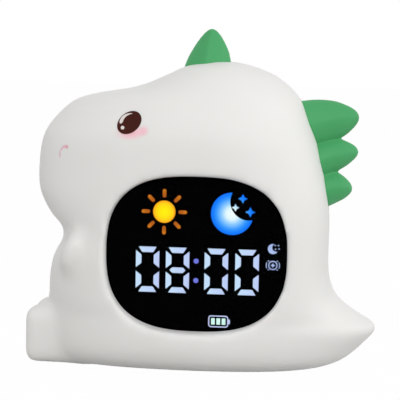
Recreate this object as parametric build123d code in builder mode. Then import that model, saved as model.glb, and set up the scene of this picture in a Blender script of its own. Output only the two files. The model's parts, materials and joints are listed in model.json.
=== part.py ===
"""Bedside alarm clock with a night light, in the shape of a sitting dinosaur.

A hollow silicone skin stands on a screwed base plate. A drum-shaped housing inside the skin holds the
display behind the front window, and the speaker, the keys and the charging socket behind the rear window.
Millimetres, +Z up, display facing -Y. The origin is the centre of the anti-slip pad's lower face.
"""

import math
import os
from collections import namedtuple

from build123d import *

os.makedirs("parts", exist_ok=True)

# ---------------------------------------------------------------- driving dimensions
SKIN_WALL = 3.0  # silicone wall
SKIN_FOOT = 0.5  # the skin starts this far above the table
BODY_HEIGHT = 136.0  # top of the head, without its spike
BODY_DEPTH = 78.0  # over both flanks
BODY_LENGTH = 145.0  # snout to tail tip, without the feet
HEAD_CENTRE = 97.0  # height where the head's dome starts to narrow
BODY_MIDDLE = -3.0  # where the flanks are deepest
DRAWN_LENGTH, DRAWN_HEIGHT = 145.0, 136.0  # the side outline's numbers are for this length and height
TAIL_CORE = 54.0  # the tail is solid silicone from here on
RIM_GRIP = 4.0  # the skin's thick window rims reach this far over the drum

WINDOW_X, WINDOW_Z = 2.4, 54.3  # axis of the windows and of the drum
WINDOW_WIDTH, WINDOW_HEIGHT = 77.7, 67.2  # front window in the skin
DRAWN_WINDOW = (77.7, 67.2)  # the display's numbers are for this window
WINDOW_POWER = 2.68  # superellipse power of every window, plate and drum
PANEL_WIDTH, PANEL_HEIGHT = 68.0, 56.0  # rear window in the skin
LENS_RECESS = 7.5  # lens front below the deepest point of the flank
PANEL_RECESS = 6.0  # rear panel below the deepest point of the flank

LENS_THICK = 1.6
LENS_LIP = 1.0  # the skin covers this much of the lens all round
LENS_GAP = 0.15  # air between the lens and the mask
MASK_THICK = 7.0
BOARD_THICK = 1.6
BOARD_CLEAR = 2.0  # main board's edge to the bore
DRUM_WALL = 1.6
PANEL_THICK = 2.2
GAP = 0.1  # between a plate and the wall around it
SLIDE_GAP = 0.25  # around a key or a slider

DIGIT_WIDTH, DIGIT_HEIGHT = 10.15, 19.7
SEGMENT = 2.4  # breadth of a lit segment
SEGMENT_GAP = 0.8
DIGIT_OFFSETS = (-21.1, -8.05, 8.7, 21.95)
BAR_LIT = (False, True, False, False)  # the middle bars, at eight o'clock sharp
DIGIT_DROP = -7.5  # digits' centre below the window's centre
COLON_SPREAD, COLON_RADIUS = 4.22, 1.1
SUN_AT, SUN_RADIUS = (-14.15, 17.65), 4.85
RAY_START, RAY_END, RAY_BREADTH, RAY_COUNT = 6.1, 9.8, 1.6, 8
MOON_AT, MOON_RADIUS = (15.1, 17.6), 9.1
MOON_BITE_AT, MOON_BITE_RADIUS = (7.1, 5.3), 8.0  # offset from the moon's centre
STARS = ((1.4, 2.7, 1.7), (4.5, 6.6, 2.1), (7.8, 0.9, 2.2))  # offset from the moon, and half size
STAR_WAIST = 0.45  # a star's inner corners, as a share of its half size
SLEEP_AT, SLEEP_RADIUS = (32.9, 3.05), 2.2
SLEEP_BITE_AT, SLEEP_BITE_RADIUS = (1.4, 0.6), 1.75
SLEEP_DOTS, SLEEP_DOT_RADIUS = ((0.9, 1.5), (2.3, 1.5), (1.1, -0.1), (2.6, 0.1)), 0.32
ALARM_AT, ALARM_RADIUS, ALARM_LINE = (33.0, -4.05), 2.0, 0.45
ALARM_HAND, ALARM_TICK, ALARM_TICK_RING = 1.1, (0.6, 0.45), 2.65
ALARM_WAVE_RING, ALARM_WAVE_ANGLE, ALARM_WAVE = 2.85, 24.0, 0.35
CELL_AT, CELL_WIDTH, CELL_HEIGHT, CELL_CORNER, CELL_LINE = (10.0, -29.2), 8.7, 5.2, 1.3, 0.5
CELL_BAR_WIDTH, CELL_BAR_HEIGHT, CELL_BAR_PITCH, CELL_BARS = 1.6, 2.8, 2.3, 3
CELL_NUB, CELL_NUB_HEIGHT = 0.7, 2.0
SUN_LAMPS = ((-2.0, -2.0), (-2.0, 2.0), (2.0, -2.0), (2.0, 2.0))  # offset from the sun's centre
MOON_LAMPS = ((-3.3, -2.5), (-6.1, 1.4), (-0.3, -6.3))  # offset from the moon's centre
LIGHT_DEPTH = 5.0  # clear resin in each cell of the mask; the lamps sit in the rest
LED_LENGTH, LED_WIDTH, LED_HEIGHT, LED_WELL = 1.6, 0.8, 0.8, 1.1
DISPLAY_SCREW_INSET = (5.6, 20.3)  # in from the bore, across and up
DISPLAY_SCREW_BITE = 4.0

KEY_RADIUS, KEY_PROUD, KEY_TRAVEL = 3.5, 1.3, 0.8
KEY_RIM, KEY_RIM_THICK = 0.8, 0.8  # hidden rim that keeps the key in
KEY_PITCH, KEY_DROP = 10.2, -12.0
KEY_NAMES = ("set", "down", "up", "alarm", "light", "sound")
KEY_CLEARANCE = 0.1  # rim to panel at rest
STEM_RADIUS, STEM_ENTRY, STEM_CLEAR, WELL_DEPTH = 1.4, 0.4, 0.2, 1.6
TACT_SIZE, TACT_HEIGHT = 6.0, 3.4
LOWER_ROW = -20.5  # socket and switch below the window's centre
SOCKET_X, SWITCH_X = 7.5, -8.0
SOCKET_WIDTH, SOCKET_HEIGHT, SOCKET_WALL, SOCKET_SINK, SOCKET_FLOOR = 8.9, 3.3, 0.3, 0.4, 1.0
TONGUE_WIDTH, TONGUE_THICK, TONGUE_SINK = 6.6, 0.7, 0.8
SWITCH_WIDTH, SWITCH_HEIGHT = 9.4, 4.6
SWITCH_TRAVEL, KNOB_WIDTH, KNOB_HEIGHT, KNOB_PROUD = 3.0, 3.2, 2.4, 0.9
KNOB_ENTRY = 0.9  # the knob's foot in its switch
MAIN_BOARD_TOP, MAIN_BOARD_STEP, MAIN_BOARD_LOW = -6.3, -17.0, -26.5
MAIN_BOARD_INSET = (4.6, 12.2)  # in from the bore, above and below the step
STANDOFF_RADIUS, STANDOFF_INSET, STANDOFF_DROP = 2.2, 7.1, -9.0
CHIP_AT, CHIP_SIDE, CHIP_HEIGHT = (0.0, -13.0), 9.0, 1.4
SENSOR_AT, SENSOR_RADIUS, SENSOR_LENGTH = (-20.0, -12.0), 2.4, 7.0
PLUG_AT, PLUG_WIDTH, PLUG_HEIGHT, PLUG_DEPTH = (24.0, -11.0), 8.0, 5.0, 5.0

SPEAKER_RADIUS, SPEAKER_DEPTH, SPEAKER_RISE = 14.0, 3.0, 8.0
SPEAKER_EDGE, SPEAKER_BACK, SPEAKER_PORT = 1.4, 0.8, 6.0
CONE_WALL, CONE_THROAT = 0.4, 4.0
MAGNET_RADIUS, MAGNET_LENGTH = 8.5, 6.5
COLLAR_WALL, COLLAR_DEPTH = 1.4, 3.6
GRILLE_HOLE, GRILLE_RINGS = 0.9, ((4.0, 6), (8.0, 12), (11.6, 18))
BATTERY_RADIUS, BATTERY_LENGTH, BATTERY_DROP, BATTERY_EDGE = 9.1, 62.0, -7.5, 0.6
CRADLE_RIB_AT, CRADLE_RIB, CRADLE_DEPTH, CRADLE_STRAP = 18.0, 4.0, 21.0, 3.0
CABLE_RADIUS, CABLE_BEND, CABLE_CLEAR, CABLE_REACH = 0.9, 2.5, 0.5, 4.5
RIBBON_WIDTH, RIBBON_THICK, RIBBON_DROP = 12.0, 0.4, -22.5

PLATE_LENGTH, PLATE_MARGIN, PLATE_FLANGE, PLATE_FLANGE_THICK = 80.0, 23.5, 2.5, 2.0
PLATE_POWER = 2.6
PAD_INSET, PAD_THICK = 3.0, 1.2
POST_RADIUS, POST_X, POST_INSET = 4.5, 22.0, 8.5
BASE_SCREW_RADIUS, BASE_HEAD_RADIUS, BASE_HEAD_HEIGHT, BASE_SCREW_BITE = 1.5, 2.75, 2.0, 5.0
BLOCK_MARGIN, BLOCK_DROP, BLOCK_RISE = 5.0, 2.0, 9.0
SCREW_RADIUS, HEAD_RADIUS, HEAD_HEIGHT = 1.0, 1.9, 1.3
BOSS_RADIUS, BOSS_INSET, BOSS_RIB = 3.4, (8.1, 12.8), 2.0
SCREW_BITE, SCREW_SEAT, SCREW_ACCESS = 8.0, 4.0, 2.1  # housing screws: bite, head seat, driver well

LAMP_RADIUS, LAMP_WALL, LAMP_BOARD_RADIUS = 15.0, 1.4, 16.0
SADDLE_SIDE, SADDLE_RISE, SADDLE_SKIRT, SADDLE_CORNER = 36.0, 3.0, 5.0, 3.0
SADDLE_SCREW_AT = 15.0
LAMP_CABLE_X, LAMP_CABLE_Y, LAMP_CABLE_HOLE, LAMP_CABLE_STEP = 11.0, 9.5, 1.4, 1.3
LAMP_CABLE_TOP, LAMP_CABLE_LOW, LAMP_CABLE_END, LAMP_CABLE_BEND = 26.0, 3.0, -10.0, 5.0
LAMP_LED_CIRCLE, LAMP_LED_SIZE, LAMP_LED_HEIGHT, LAMP_LEDS = 8.5, 3.5, 1.2, 6

FOOT_FRONT, FOOT_LENGTH, FOOT_WIDTH, FOOT_HEIGHT = -75.6, 34.0, 18.0, 25.8
FOOT_OFFSET, FOOT_ROUND = 10.0, 5.5
ARM_X, ARM_Z, ARM_SUNK = -50.8, 54.2, 9.3
ARM_RADII, ARM_LEAN = (5.4, 5.2, 10.4), 21.0
HEAD_SPIKE_DEPTH, BACK_SPIKE_DEPTH = 15.0, 15.0
SPIKE_ROOT, SPIKE_POWER = 5.0, 1.6
HEAD_SPIKE_BOW, BACK_SPIKE_BOW = 0.0, 0.9  # middle of a spike's centre line off the straight
SLIM_SPIKE = ((0.0, 1.0), (0.3, 0.82), (0.5, 0.66), (0.7, 0.47), (0.88, 0.27), (0.97, 0.12), (1.0, 0.04))
FULL_SPIKE = ((0.0, 1.0), (0.3, 0.91), (0.6, 0.73), (0.78, 0.52), (0.9, 0.34), (0.97, 0.19), (1.0, 0.05))

# ---------------------------------------------------------------- derived places
FLANK = BODY_DEPTH / 2
LENS_FRONT = -FLANK + LENS_RECESS
MASK_FRONT = LENS_FRONT + LENS_THICK + LENS_GAP
DISPLAY_BOARD_FRONT = MASK_FRONT + MASK_THICK
DISPLAY_BOARD_BACK = DISPLAY_BOARD_FRONT + BOARD_THICK
PANEL_FACE = FLANK - PANEL_RECESS
PANEL_INSIDE = PANEL_FACE - PANEL_THICK
LENS_HALF = (WINDOW_WIDTH / 2 + LENS_LIP, WINDOW_HEIGHT / 2 + LENS_LIP)
BORE_HALF = (LENS_HALF[0] + GAP, LENS_HALF[1] + GAP)
DRUM_HALF = (BORE_HALF[0] + DRUM_WALL, BORE_HALF[1] + DRUM_WALL)
BOARD_HALF = (BORE_HALF[0] - BOARD_CLEAR, BORE_HALF[1] - BOARD_CLEAR)
RIM_TOP = PANEL_INSIDE - KEY_CLEARANCE
RIM_BOTTOM = RIM_TOP - KEY_RIM_THICK
TACT_TOP = RIM_BOTTOM - KEY_TRAVEL - STEM_CLEAR
MAIN_BOARD_BACK = TACT_TOP - TACT_HEIGHT
MAIN_BOARD_FRONT = MAIN_BOARD_BACK - BOARD_THICK
SOCKET_MOUTH = PANEL_FACE - SOCKET_SINK
SPEAKER_FRONT = PANEL_INSIDE
SPEAKER_REAR = SPEAKER_FRONT - SPEAKER_DEPTH
CABLE_DEPTH = MAIN_BOARD_FRONT - HEAD_HEIGHT - CABLE_RADIUS - CABLE_CLEAR
CABLE_SIDE = BATTERY_LENGTH / 2 + CABLE_REACH
SPLIT = 0.0  # the two housings meet here
PLATE_INSIDE = SKIN_FOOT + SKIN_WALL
PLATE_TOP = PLATE_INSIDE + PLATE_FLANGE_THICK
BLOCK_BOTTOM = WINDOW_Z - DRUM_HALF[1] - BLOCK_DROP
BASE_SCREW_TOP = BLOCK_BOTTOM + BASE_SCREW_BITE
SADDLE_TOP = WINDOW_Z + DRUM_HALF[1] + SADDLE_RISE
LAMP_BOARD_TOP = SADDLE_TOP + BOARD_THICK

BOSS_X, BOSS_Z = BORE_HALF[0] - BOSS_INSET[0], BORE_HALF[1] - BOSS_INSET[1]
BOSSES_AT = [(x * BOSS_X, z * BOSS_Z) for x in (-1, 1) for z in (-1, 1)]
DISPLAY_SCREW_X = BORE_HALF[0] - DISPLAY_SCREW_INSET[0]
DISPLAY_SCREW_Z = BORE_HALF[1] - DISPLAY_SCREW_INSET[1]
DISPLAY_SCREWS_AT = [(x * DISPLAY_SCREW_X, z * DISPLAY_SCREW_Z) for x in (-1, 1) for z in (-1, 1)]
STANDOFF_X = BORE_HALF[0] - STANDOFF_INSET
STANDOFFS_AT = [(-STANDOFF_X, STANDOFF_DROP), (STANDOFF_X, STANDOFF_DROP)]
MAIN_BOARD_WIDE = BORE_HALF[0] - MAIN_BOARD_INSET[0]
MAIN_BOARD_NARROW = BORE_HALF[0] - MAIN_BOARD_INSET[1]
PLATE_WIDTH = 2 * (FLANK - PLATE_MARGIN)
POST_Y = PLATE_WIDTH / 2 - POST_INSET
POSTS_AT = [(WINDOW_X + x * POST_X, y * POST_Y) for x in (-1, 1) for y in (-1, 1)]
BLOCK_HALF_WIDTH = POST_X + BLOCK_MARGIN
BLOCK_NEAR, BLOCK_FAR = POST_Y - BLOCK_MARGIN, POST_Y + BLOCK_MARGIN
SADDLE_SCREWS_AT = [(WINDOW_X + x * SADDLE_SCREW_AT, y * SADDLE_SCREW_AT) for x in (-1, 1) for y in (-1, 1)]
LAMP_LEAD_AT = (WINDOW_X + LAMP_CABLE_X, LAMP_CABLE_Y)

Section = namedtuple("Section", "height left right half_depth middle left_power right_power")


def placed(x, z):
    """Point of the drawn side outline, moved to the body's own length and height."""
    if z > HEAD_CENTRE:
        z = HEAD_CENTRE + (z - HEAD_CENTRE) * (BODY_HEIGHT - HEAD_CENTRE) / (DRAWN_HEIGHT - HEAD_CENTRE)
    return WINDOW_X + (x - WINDOW_X) * BODY_LENGTH / DRAWN_LENGTH, z


def dome(z):
    """Half depth of the head's dome at a drawn height."""
    rise = (z - HEAD_CENTRE) / (DRAWN_HEIGHT + 0.6 - HEAD_CENTRE)
    return FLANK * math.sqrt(1 - rise**2)


def body_sections():
    """Level sections of the body, from the table up: the side outline, and the depth across it."""
    middle = BODY_MIDDLE
    drawn = [
        Section(SKIN_FOOT, -58.0, 49.0, FLANK - 21.0, middle, 2.2, 2.2),
        Section(2.5, -63.6, 58.5, FLANK - 13.0, middle, 2.2, 2.1),
        Section(6.0, -66.0, 66.5, FLANK - 4.6, middle, 2.2, 2.0),
        Section(12.0, -66.9, 74.0, FLANK - 0.8, middle, 2.2, 1.9),
        Section(19.5, -66.9, 78.7, FLANK, middle, 2.2, 1.9),
        Section(25.5, -66.9, 71.5, FLANK, middle, 2.2, 2.1),
        Section(32.0, -66.8, 62.5, FLANK, middle, 2.4, 2.7),
        Section(41.0, -66.2, 58.6, FLANK, middle, 2.6, 3.1),
        Section(50.0, -64.0, 57.9, FLANK, middle, 2.8, 3.2),
        Section(57.5, -59.9, 58.0, FLANK, middle, 2.8, 3.2),
        Section(63.5, -61.3, 58.0, FLANK, middle, 2.7, 3.2),
        Section(68.0, -65.8, 57.9, FLANK, middle, 2.6, 3.2),
        Section(78.0, -71.1, 57.0, FLANK, middle, 2.5, 3.1),
        Section(90.0, -71.8, 54.6, FLANK, middle, 2.4, 2.9),
        Section(102.0, -70.0, 51.6, dome(102.0), middle, 2.4, 2.7),
        Section(110.0, -65.2, 48.8, dome(110.0), -2.0, 2.3, 2.5),
        Section(117.5, -57.2, 45.7, dome(117.5), 0.0, 2.2, 2.4),
        Section(121.0, -47.5, 43.4, dome(121.0), 2.0, 2.2, 2.4),
        Section(124.5, -28.5, 40.4, dome(124.5), 4.0, 2.2, 2.3),
        Section(130.0, -15.0, 33.5, dome(130.0), 7.0, 2.1, 2.2),
        Section(134.0, -6.5, 24.0, dome(134.0), 9.0, 2.0, 2.0),
        Section(136.0, 3.0, 15.5, 5.5, 9.3, 2.0, 2.0),
    ]
    sections = []
    for section in drawn:
        left, height = placed(section.left, section.height)
        right, height = placed(section.right, section.height)
        centre, height = placed(section.middle, section.height)
        sections.append(section._replace(height=height, left=left, right=right, middle=centre))
    return sections


def inset(section, wall):
    """The same section pulled in by a wall, with its height squeezed between the floor and the crown."""
    squeeze = (BODY_HEIGHT - SKIN_FOOT - 2 * wall) / (BODY_HEIGHT - SKIN_FOOT)
    core, level = placed(TAIL_CORE, section.height)
    return section._replace(
        height=SKIN_FOOT + wall + (section.height - SKIN_FOOT) * squeeze,
        left=section.left + wall,
        right=min(section.right - wall, core),
        half_depth=section.half_depth - wall,
    )


def power_curve(angle, half_x, half_y, power):
    """Point of a superellipse quadrant pair at an angle, signs kept."""
    c, s = math.cos(angle), math.sin(angle)
    return (
        half_x * math.copysign(abs(c) ** (2 / power), c),
        half_y * math.copysign(abs(s) ** (2 / power), s),
    )


def closed_spline(points):
    """Closed spline with evenly spaced knots, so that every section of a loft has the same ones."""
    steps = [i / len(points) for i in range(len(points) + 1)]
    return Edge.make_spline([Vector(*p) for p in points], periodic=True, parameters=steps)


def section_outline(section, count=28):
    """Outline of one body section, in its own level plane."""
    points = []
    for i in range(count):
        angle = 2 * math.pi * i / count
        right = math.cos(angle) >= 0
        reach = section.right - section.middle if right else section.middle - section.left
        power = section.right_power if right else section.left_power
        x, y = power_curve(angle, reach, section.half_depth, power)
        points.append((section.middle + x, y))
    return closed_spline(points)


def rounded_outline(half_x, half_y, power=WINDOW_POWER, count=32):
    """Superellipse outline about the sketch's origin."""
    return closed_spline(
        [power_curve(2 * math.pi * i / count, half_x, half_y, power) for i in range(count)]
    )


def front_plane(y):
    """Plane across the drum at depth y, with its origin on the drum's axis: extrude(-t) goes towards +Y."""
    return Plane(origin=(WINDOW_X, y, WINDOW_Z), x_dir=(1, 0, 0), z_dir=(0, -1, 0))


def level_plane(z):
    """Level plane at a height."""
    return Plane.XY.offset(z)


def oval_face(half):
    """Filled superellipse with the given half sizes, in the open sketch."""
    make_face(rounded_outline(*half))


def plate_face(margin):
    """Outline of the base plate plus a margin, filled, in the open sketch."""
    make_face(rounded_outline(PLATE_LENGTH / 2 + margin, PLATE_WIDTH / 2 + margin, PLATE_POWER))


def save(builder, name):
    """Writes one finished sub-part."""
    builder.part.label = name
    export_step(builder.part, f"parts/{name}.step")


def loft_body(sections):
    """Solid lofted through level sections."""
    with BuildPart() as body:
        for section in sections:
            with BuildSketch(level_plane(section.height)):
                make_face(section_outline(section))
        loft()
    return body.part


# ---------------------------------------------------------------- green spikes
def spike(base_from, base_to, tip, thickness, profile, bow):
    """A rounded spike that stands on the line between two points and leans to its tip; points are (x, z).

    The profile gives its breadth at shares of its reach, its centre line bows back towards the first point,
    and its root goes on through the skin."""
    start, end, point = Vector(*base_from), Vector(*base_to), Vector(*tip)
    middle = (start + end) / 2
    along = (end - start).normalized()
    out = Vector(-along.Y, along.X)
    if (point - middle).dot(out) < 0:
        out = -out
    reach = (point - middle).dot(out)
    lean = (point - middle).dot(along)
    half = (end - start).length / 2
    with BuildPart() as solid:
        for share, breadth in ((-SPIKE_ROOT / reach, 1.0), *profile):
            risen = max(share, 0.0)
            centre = middle + out * share * reach + along * (risen * lean - bow * math.sin(math.pi * risen))
            place = Plane(
                origin=(centre.X, 0, centre.Y),
                x_dir=(along.X, 0, along.Y),
                z_dir=(out.X, 0, out.Y),
            )
            with BuildSketch(place):
                make_face(rounded_outline(half * breadth, thickness / 2 * breadth, SPIKE_POWER, 16))
        loft()
    return solid.part


HEAD_CORNERS = ((-8.0, 132.4), (12.9, 135.2), (4.0, 150.3))  # both ends of the base, and the tip
BACK_CORNERS = (
    ((44.7, 120.2), (51.6, 99.2), (69.7, 113.9)),
    ((50.7, 101.6), (54.9, 85.2), (69.8, 98.2)),
    ((54.3, 88.6), (56.8, 72.8), (67.6, 81.8)),
)
HEAD_SPIKE = spike(*(placed(*at) for at in HEAD_CORNERS), HEAD_SPIKE_DEPTH, SLIM_SPIKE, HEAD_SPIKE_BOW)
BACK_SPIKES = [
    spike(*(placed(*at) for at in corners), BACK_SPIKE_DEPTH - index / 2, FULL_SPIKE, BACK_SPIKE_BOW)
    for index, corners in enumerate(BACK_CORNERS)
]

with BuildPart() as head_spike:
    add(HEAD_SPIKE)
save(head_spike, "head_spike")

with BuildPart() as back_spikes:
    for lobe in BACK_SPIKES:
        add(lobe)
save(back_spikes, "back_spikes")

# ---------------------------------------------------------------- silicone skin
OUTER = loft_body(body_sections())
CAVITY = loft_body([inset(section, SKIN_WALL) for section in body_sections()])


def drum_block(margin, front, back):
    """Solid with the drum's outline plus a margin, between two depths."""
    with BuildPart() as block:
        with BuildSketch(front_plane(front)):
            oval_face((DRUM_HALF[0] + margin, DRUM_HALF[1] + margin))
        extrude(amount=front - back)
    return block.part


def foot(side):
    """One foot, as a rounded block that stands out in front of the belly."""
    with BuildPart() as block:
        toe, floor = placed(FOOT_FRONT, SKIN_FOOT)
        with Locations((toe + FOOT_LENGTH / 2, side * FOOT_OFFSET, floor + FOOT_HEIGHT / 2)):
            Box(FOOT_LENGTH, FOOT_WIDTH, FOOT_HEIGHT)
        fillet(block.edges(), FOOT_ROUND)
    return block.part


def arm(side):
    """One arm, as an ellipsoid half sunk in the flank."""
    radii = Matrix([[ARM_RADII[0], 0, 0, 0], [0, ARM_RADII[1], 0, 0], [0, 0, ARM_RADII[2], 0]])
    x, z = placed(ARM_X, ARM_Z)
    place = Location((x, side * (FLANK - ARM_SUNK), z), (0, ARM_LEAN, 0))
    return place * Solid.make_sphere(1.0).transform_geometry(radii)


with BuildPart() as hollow:
    add(CAVITY)
    add(drum_block(SKIN_WALL, -FLANK, LENS_FRONT + RIM_GRIP), mode=Mode.SUBTRACT)
    add(drum_block(SKIN_WALL, PANEL_FACE - RIM_GRIP, FLANK), mode=Mode.SUBTRACT)

with BuildPart() as silicone_skin:
    add(OUTER)
    for side in (-1, 1):
        add(foot(side))
        add(arm(side))
    add(hollow.part, mode=Mode.SUBTRACT)
    add(drum_block(0, LENS_FRONT, PANEL_FACE), mode=Mode.SUBTRACT)
    with BuildSketch(front_plane(-2 * FLANK)):
        oval_face((WINDOW_WIDTH / 2, WINDOW_HEIGHT / 2))
    extrude(amount=-2 * FLANK, mode=Mode.SUBTRACT)
    with BuildSketch(front_plane(0)):
        oval_face((PANEL_WIDTH / 2, PANEL_HEIGHT / 2))
    extrude(amount=-2 * FLANK, mode=Mode.SUBTRACT)
    with BuildSketch(level_plane(0)):
        plate_face(0)
    extrude(amount=PLATE_INSIDE, mode=Mode.SUBTRACT)
    with BuildSketch(level_plane(PLATE_INSIDE)):
        plate_face(PLATE_FLANGE)
    extrude(amount=PLATE_FLANGE_THICK, mode=Mode.SUBTRACT)
    add(HEAD_SPIKE, mode=Mode.SUBTRACT)
    for lobe in BACK_SPIKES:
        add(lobe, mode=Mode.SUBTRACT)
save(silicone_skin, "silicone_skin")

# ---------------------------------------------------------------- display


def spread(x, z):
    """Place on the display, moved to the window's own width and height."""
    return x * WINDOW_WIDTH / DRAWN_WINDOW[0], z * WINDOW_HEIGHT / DRAWN_WINDOW[1]


def segment_outlines():
    """Outlines of a digit's outer segments and of its middle bar, about the digit's centre."""
    w, h = DIGIT_WIDTH / 2, DIGIT_HEIGHT / 2
    gap, inner = SEGMENT_GAP, w - SEGMENT
    low, short = h - SEGMENT, w - SEGMENT - SEGMENT_GAP / 3
    cap = [(-w + 1.5 * gap, h), (w - 1.5 * gap, h), (short, low), (-short, low)]
    post = [(-w, gap), (-inner, SEGMENT + gap / 3), (-inner, h - SEGMENT - 1.5 * gap), (-w, h - 2 * gap)]
    tip, half = w - 2 * gap, SEGMENT / 2
    flat = tip - half
    bar = [(-tip, 0), (-flat, half), (flat, half), (tip, 0), (flat, -half), (-flat, -half)]
    outer = [[(x, y * flip) for x, y in cap] for flip in (-1, 1)]
    outer += [[(x * side, y * flip) for x, y in post] for side in (-1, 1) for flip in (-1, 1)]
    return outer, bar


def digit_faces():
    """The lit segments of the four digits, in the open sketch."""
    outer, bar = segment_outlines()
    for offset, bar_lit in zip(DIGIT_OFFSETS, BAR_LIT):
        with Locations(spread(offset, DIGIT_DROP)):
            for outline in outer + [bar] * bar_lit:
                Polygon(*outline, align=None)


def unlit_faces():
    """The middle bars that stay dark."""
    outer, bar = segment_outlines()
    for offset, bar_lit in zip(DIGIT_OFFSETS, BAR_LIT):
        if not bar_lit:
            with Locations(spread(offset, DIGIT_DROP)):
                Polygon(*bar, align=None)


def colon_faces():
    """The two dots between hours and minutes."""
    with Locations(spread(0, DIGIT_DROP + COLON_SPREAD), spread(0, DIGIT_DROP - COLON_SPREAD)):
        Circle(COLON_RADIUS)


def sun_faces():
    """A disc with rays around it."""
    with Locations(spread(*SUN_AT)):
        Circle(SUN_RADIUS)
        with PolarLocations((RAY_START + RAY_END) / 2, RAY_COUNT):
            SlotOverall(RAY_END - RAY_START, RAY_BREADTH)


def star_points(size):
    """Outline of a four-pointed star."""
    points = []
    for i in range(8):
        reach = size if i % 2 == 0 else size * STAR_WAIST
        points.append((reach * math.sin(i * math.pi / 4), reach * math.cos(i * math.pi / 4)))
    return points


def moon_faces():
    """A crescent with three stars beside it."""
    with Locations(spread(*MOON_AT)):
        Circle(MOON_RADIUS)
        with Locations(MOON_BITE_AT):
            Circle(MOON_BITE_RADIUS, mode=Mode.SUBTRACT)
        for x, y, size in STARS:
            with Locations((x, y)):
                Polygon(*star_points(size), align=None)


def status_faces():
    """A small crescent with dots, and a ringing clock."""
    with Locations(spread(*SLEEP_AT)):
        Circle(SLEEP_RADIUS)
        with Locations(SLEEP_BITE_AT):
            Circle(SLEEP_BITE_RADIUS, mode=Mode.SUBTRACT)
        with Locations(*SLEEP_DOTS):
            Circle(SLEEP_DOT_RADIUS)
    with Locations(spread(*ALARM_AT)):
        Circle(ALARM_RADIUS)
        Circle(ALARM_RADIUS - ALARM_LINE, mode=Mode.SUBTRACT)
        Polygon(*star_points(ALARM_HAND), align=None)
        with PolarLocations(ALARM_TICK_RING, 4, start_angle=45):
            Rectangle(*ALARM_TICK)
        for middle in (0, 180):
            first, last = middle - ALARM_WAVE_ANGLE, middle + ALARM_WAVE_ANGLE
            SlotArc(Edge.make_circle(ALARM_WAVE_RING, start_angle=first, end_angle=last), ALARM_WAVE)


def battery_faces():
    """A battery outline with its charge bars and its end cap."""
    with Locations(spread(*CELL_AT)):
        RectangleRounded(CELL_WIDTH, CELL_HEIGHT, CELL_CORNER)
        RectangleRounded(
            CELL_WIDTH - 2 * CELL_LINE,
            CELL_HEIGHT - 2 * CELL_LINE,
            CELL_CORNER - CELL_LINE,
            mode=Mode.SUBTRACT,
        )
        with Locations(((CELL_WIDTH + CELL_NUB - CELL_LINE) / 2, 0)):
            Rectangle(CELL_NUB + CELL_LINE, CELL_NUB_HEIGHT)
        with GridLocations(CELL_BAR_PITCH, 0, CELL_BARS, 1):
            Rectangle(CELL_BAR_WIDTH, CELL_BAR_HEIGHT)


LIT_SHAPES = {
    "digit_segments": digit_faces,
    "unlit_segments": unlit_faces,
    "colon_dots": colon_faces,
    "sun_icon": sun_faces,
    "moon_icon": moon_faces,
    "status_icons": status_faces,
    "battery_icon": battery_faces,
}

for name, faces in LIT_SHAPES.items():
    with BuildPart() as light:
        with BuildSketch(front_plane(MASK_FRONT)):
            faces()
        extrude(amount=-LIGHT_DEPTH)
    save(light, name)


def led_places():
    """Places of the display's lamps: one in each segment and dot, and some in each picture."""
    w, h = (DIGIT_WIDTH - SEGMENT) / 2, (DIGIT_HEIGHT - SEGMENT) / 2
    segments = [(0, h), (0, 0), (0, -h), (w, h / 2), (w, -h / 2), (-w, h / 2), (-w, -h / 2)]
    groups = [((offset, DIGIT_DROP), segments) for offset in DIGIT_OFFSETS]
    groups += [((0, DIGIT_DROP + COLON_SPREAD), [(0, 0)]), ((0, DIGIT_DROP - COLON_SPREAD), [(0, 0)])]
    groups += [
        (SUN_AT, SUN_LAMPS),
        (MOON_AT, MOON_LAMPS),
        (MOON_AT, [(x, y) for x, y, size in STARS]),
        (SLEEP_AT, [(-SLEEP_RADIUS / 2, 0)]),
        (ALARM_AT, [(0, ALARM_RADIUS)]),
        (CELL_AT, [(-CELL_BAR_PITCH, 0), (0, 0), (CELL_BAR_PITCH, 0)]),
    ]
    places = []
    for anchor, offsets in groups:
        x, z = spread(*anchor)
        places += [(x + dx, z + dz) for dx, dz in offsets]
    return places


with BuildPart() as display_mask:
    with BuildSketch(front_plane(MASK_FRONT)):
        oval_face(LENS_HALF)
    extrude(amount=-MASK_THICK)
    with BuildSketch(front_plane(MASK_FRONT)):
        for faces in LIT_SHAPES.values():
            faces()
    extrude(amount=-LIGHT_DEPTH, mode=Mode.SUBTRACT)
    with BuildSketch(front_plane(DISPLAY_BOARD_FRONT)):
        with Locations(*led_places()):
            Circle(LED_WELL)
    extrude(amount=MASK_THICK - LIGHT_DEPTH, mode=Mode.SUBTRACT)
    with BuildSketch(front_plane(DISPLAY_BOARD_FRONT)):
        with Locations(*DISPLAY_SCREWS_AT):
            Circle(SCREW_RADIUS)
    extrude(amount=DISPLAY_SCREW_BITE, mode=Mode.SUBTRACT)
save(display_mask, "display_mask")

with BuildPart() as front_lens:
    with BuildSketch(front_plane(LENS_FRONT)):
        oval_face(LENS_HALF)
    extrude(amount=-LENS_THICK)
save(front_lens, "front_lens")

with BuildPart() as display_board:
    with BuildSketch(front_plane(DISPLAY_BOARD_FRONT)):
        oval_face(LENS_HALF)
        with Locations(*DISPLAY_SCREWS_AT):
            Circle(SCREW_RADIUS, mode=Mode.SUBTRACT)
    extrude(amount=-BOARD_THICK)
save(display_board, "display_board")


with BuildPart() as display_leds:
    with BuildSketch(front_plane(DISPLAY_BOARD_FRONT)):
        with Locations(*led_places()):
            Rectangle(LED_LENGTH, LED_WIDTH)
    extrude(amount=LED_HEIGHT)
save(display_leds, "display_leds")


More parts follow.
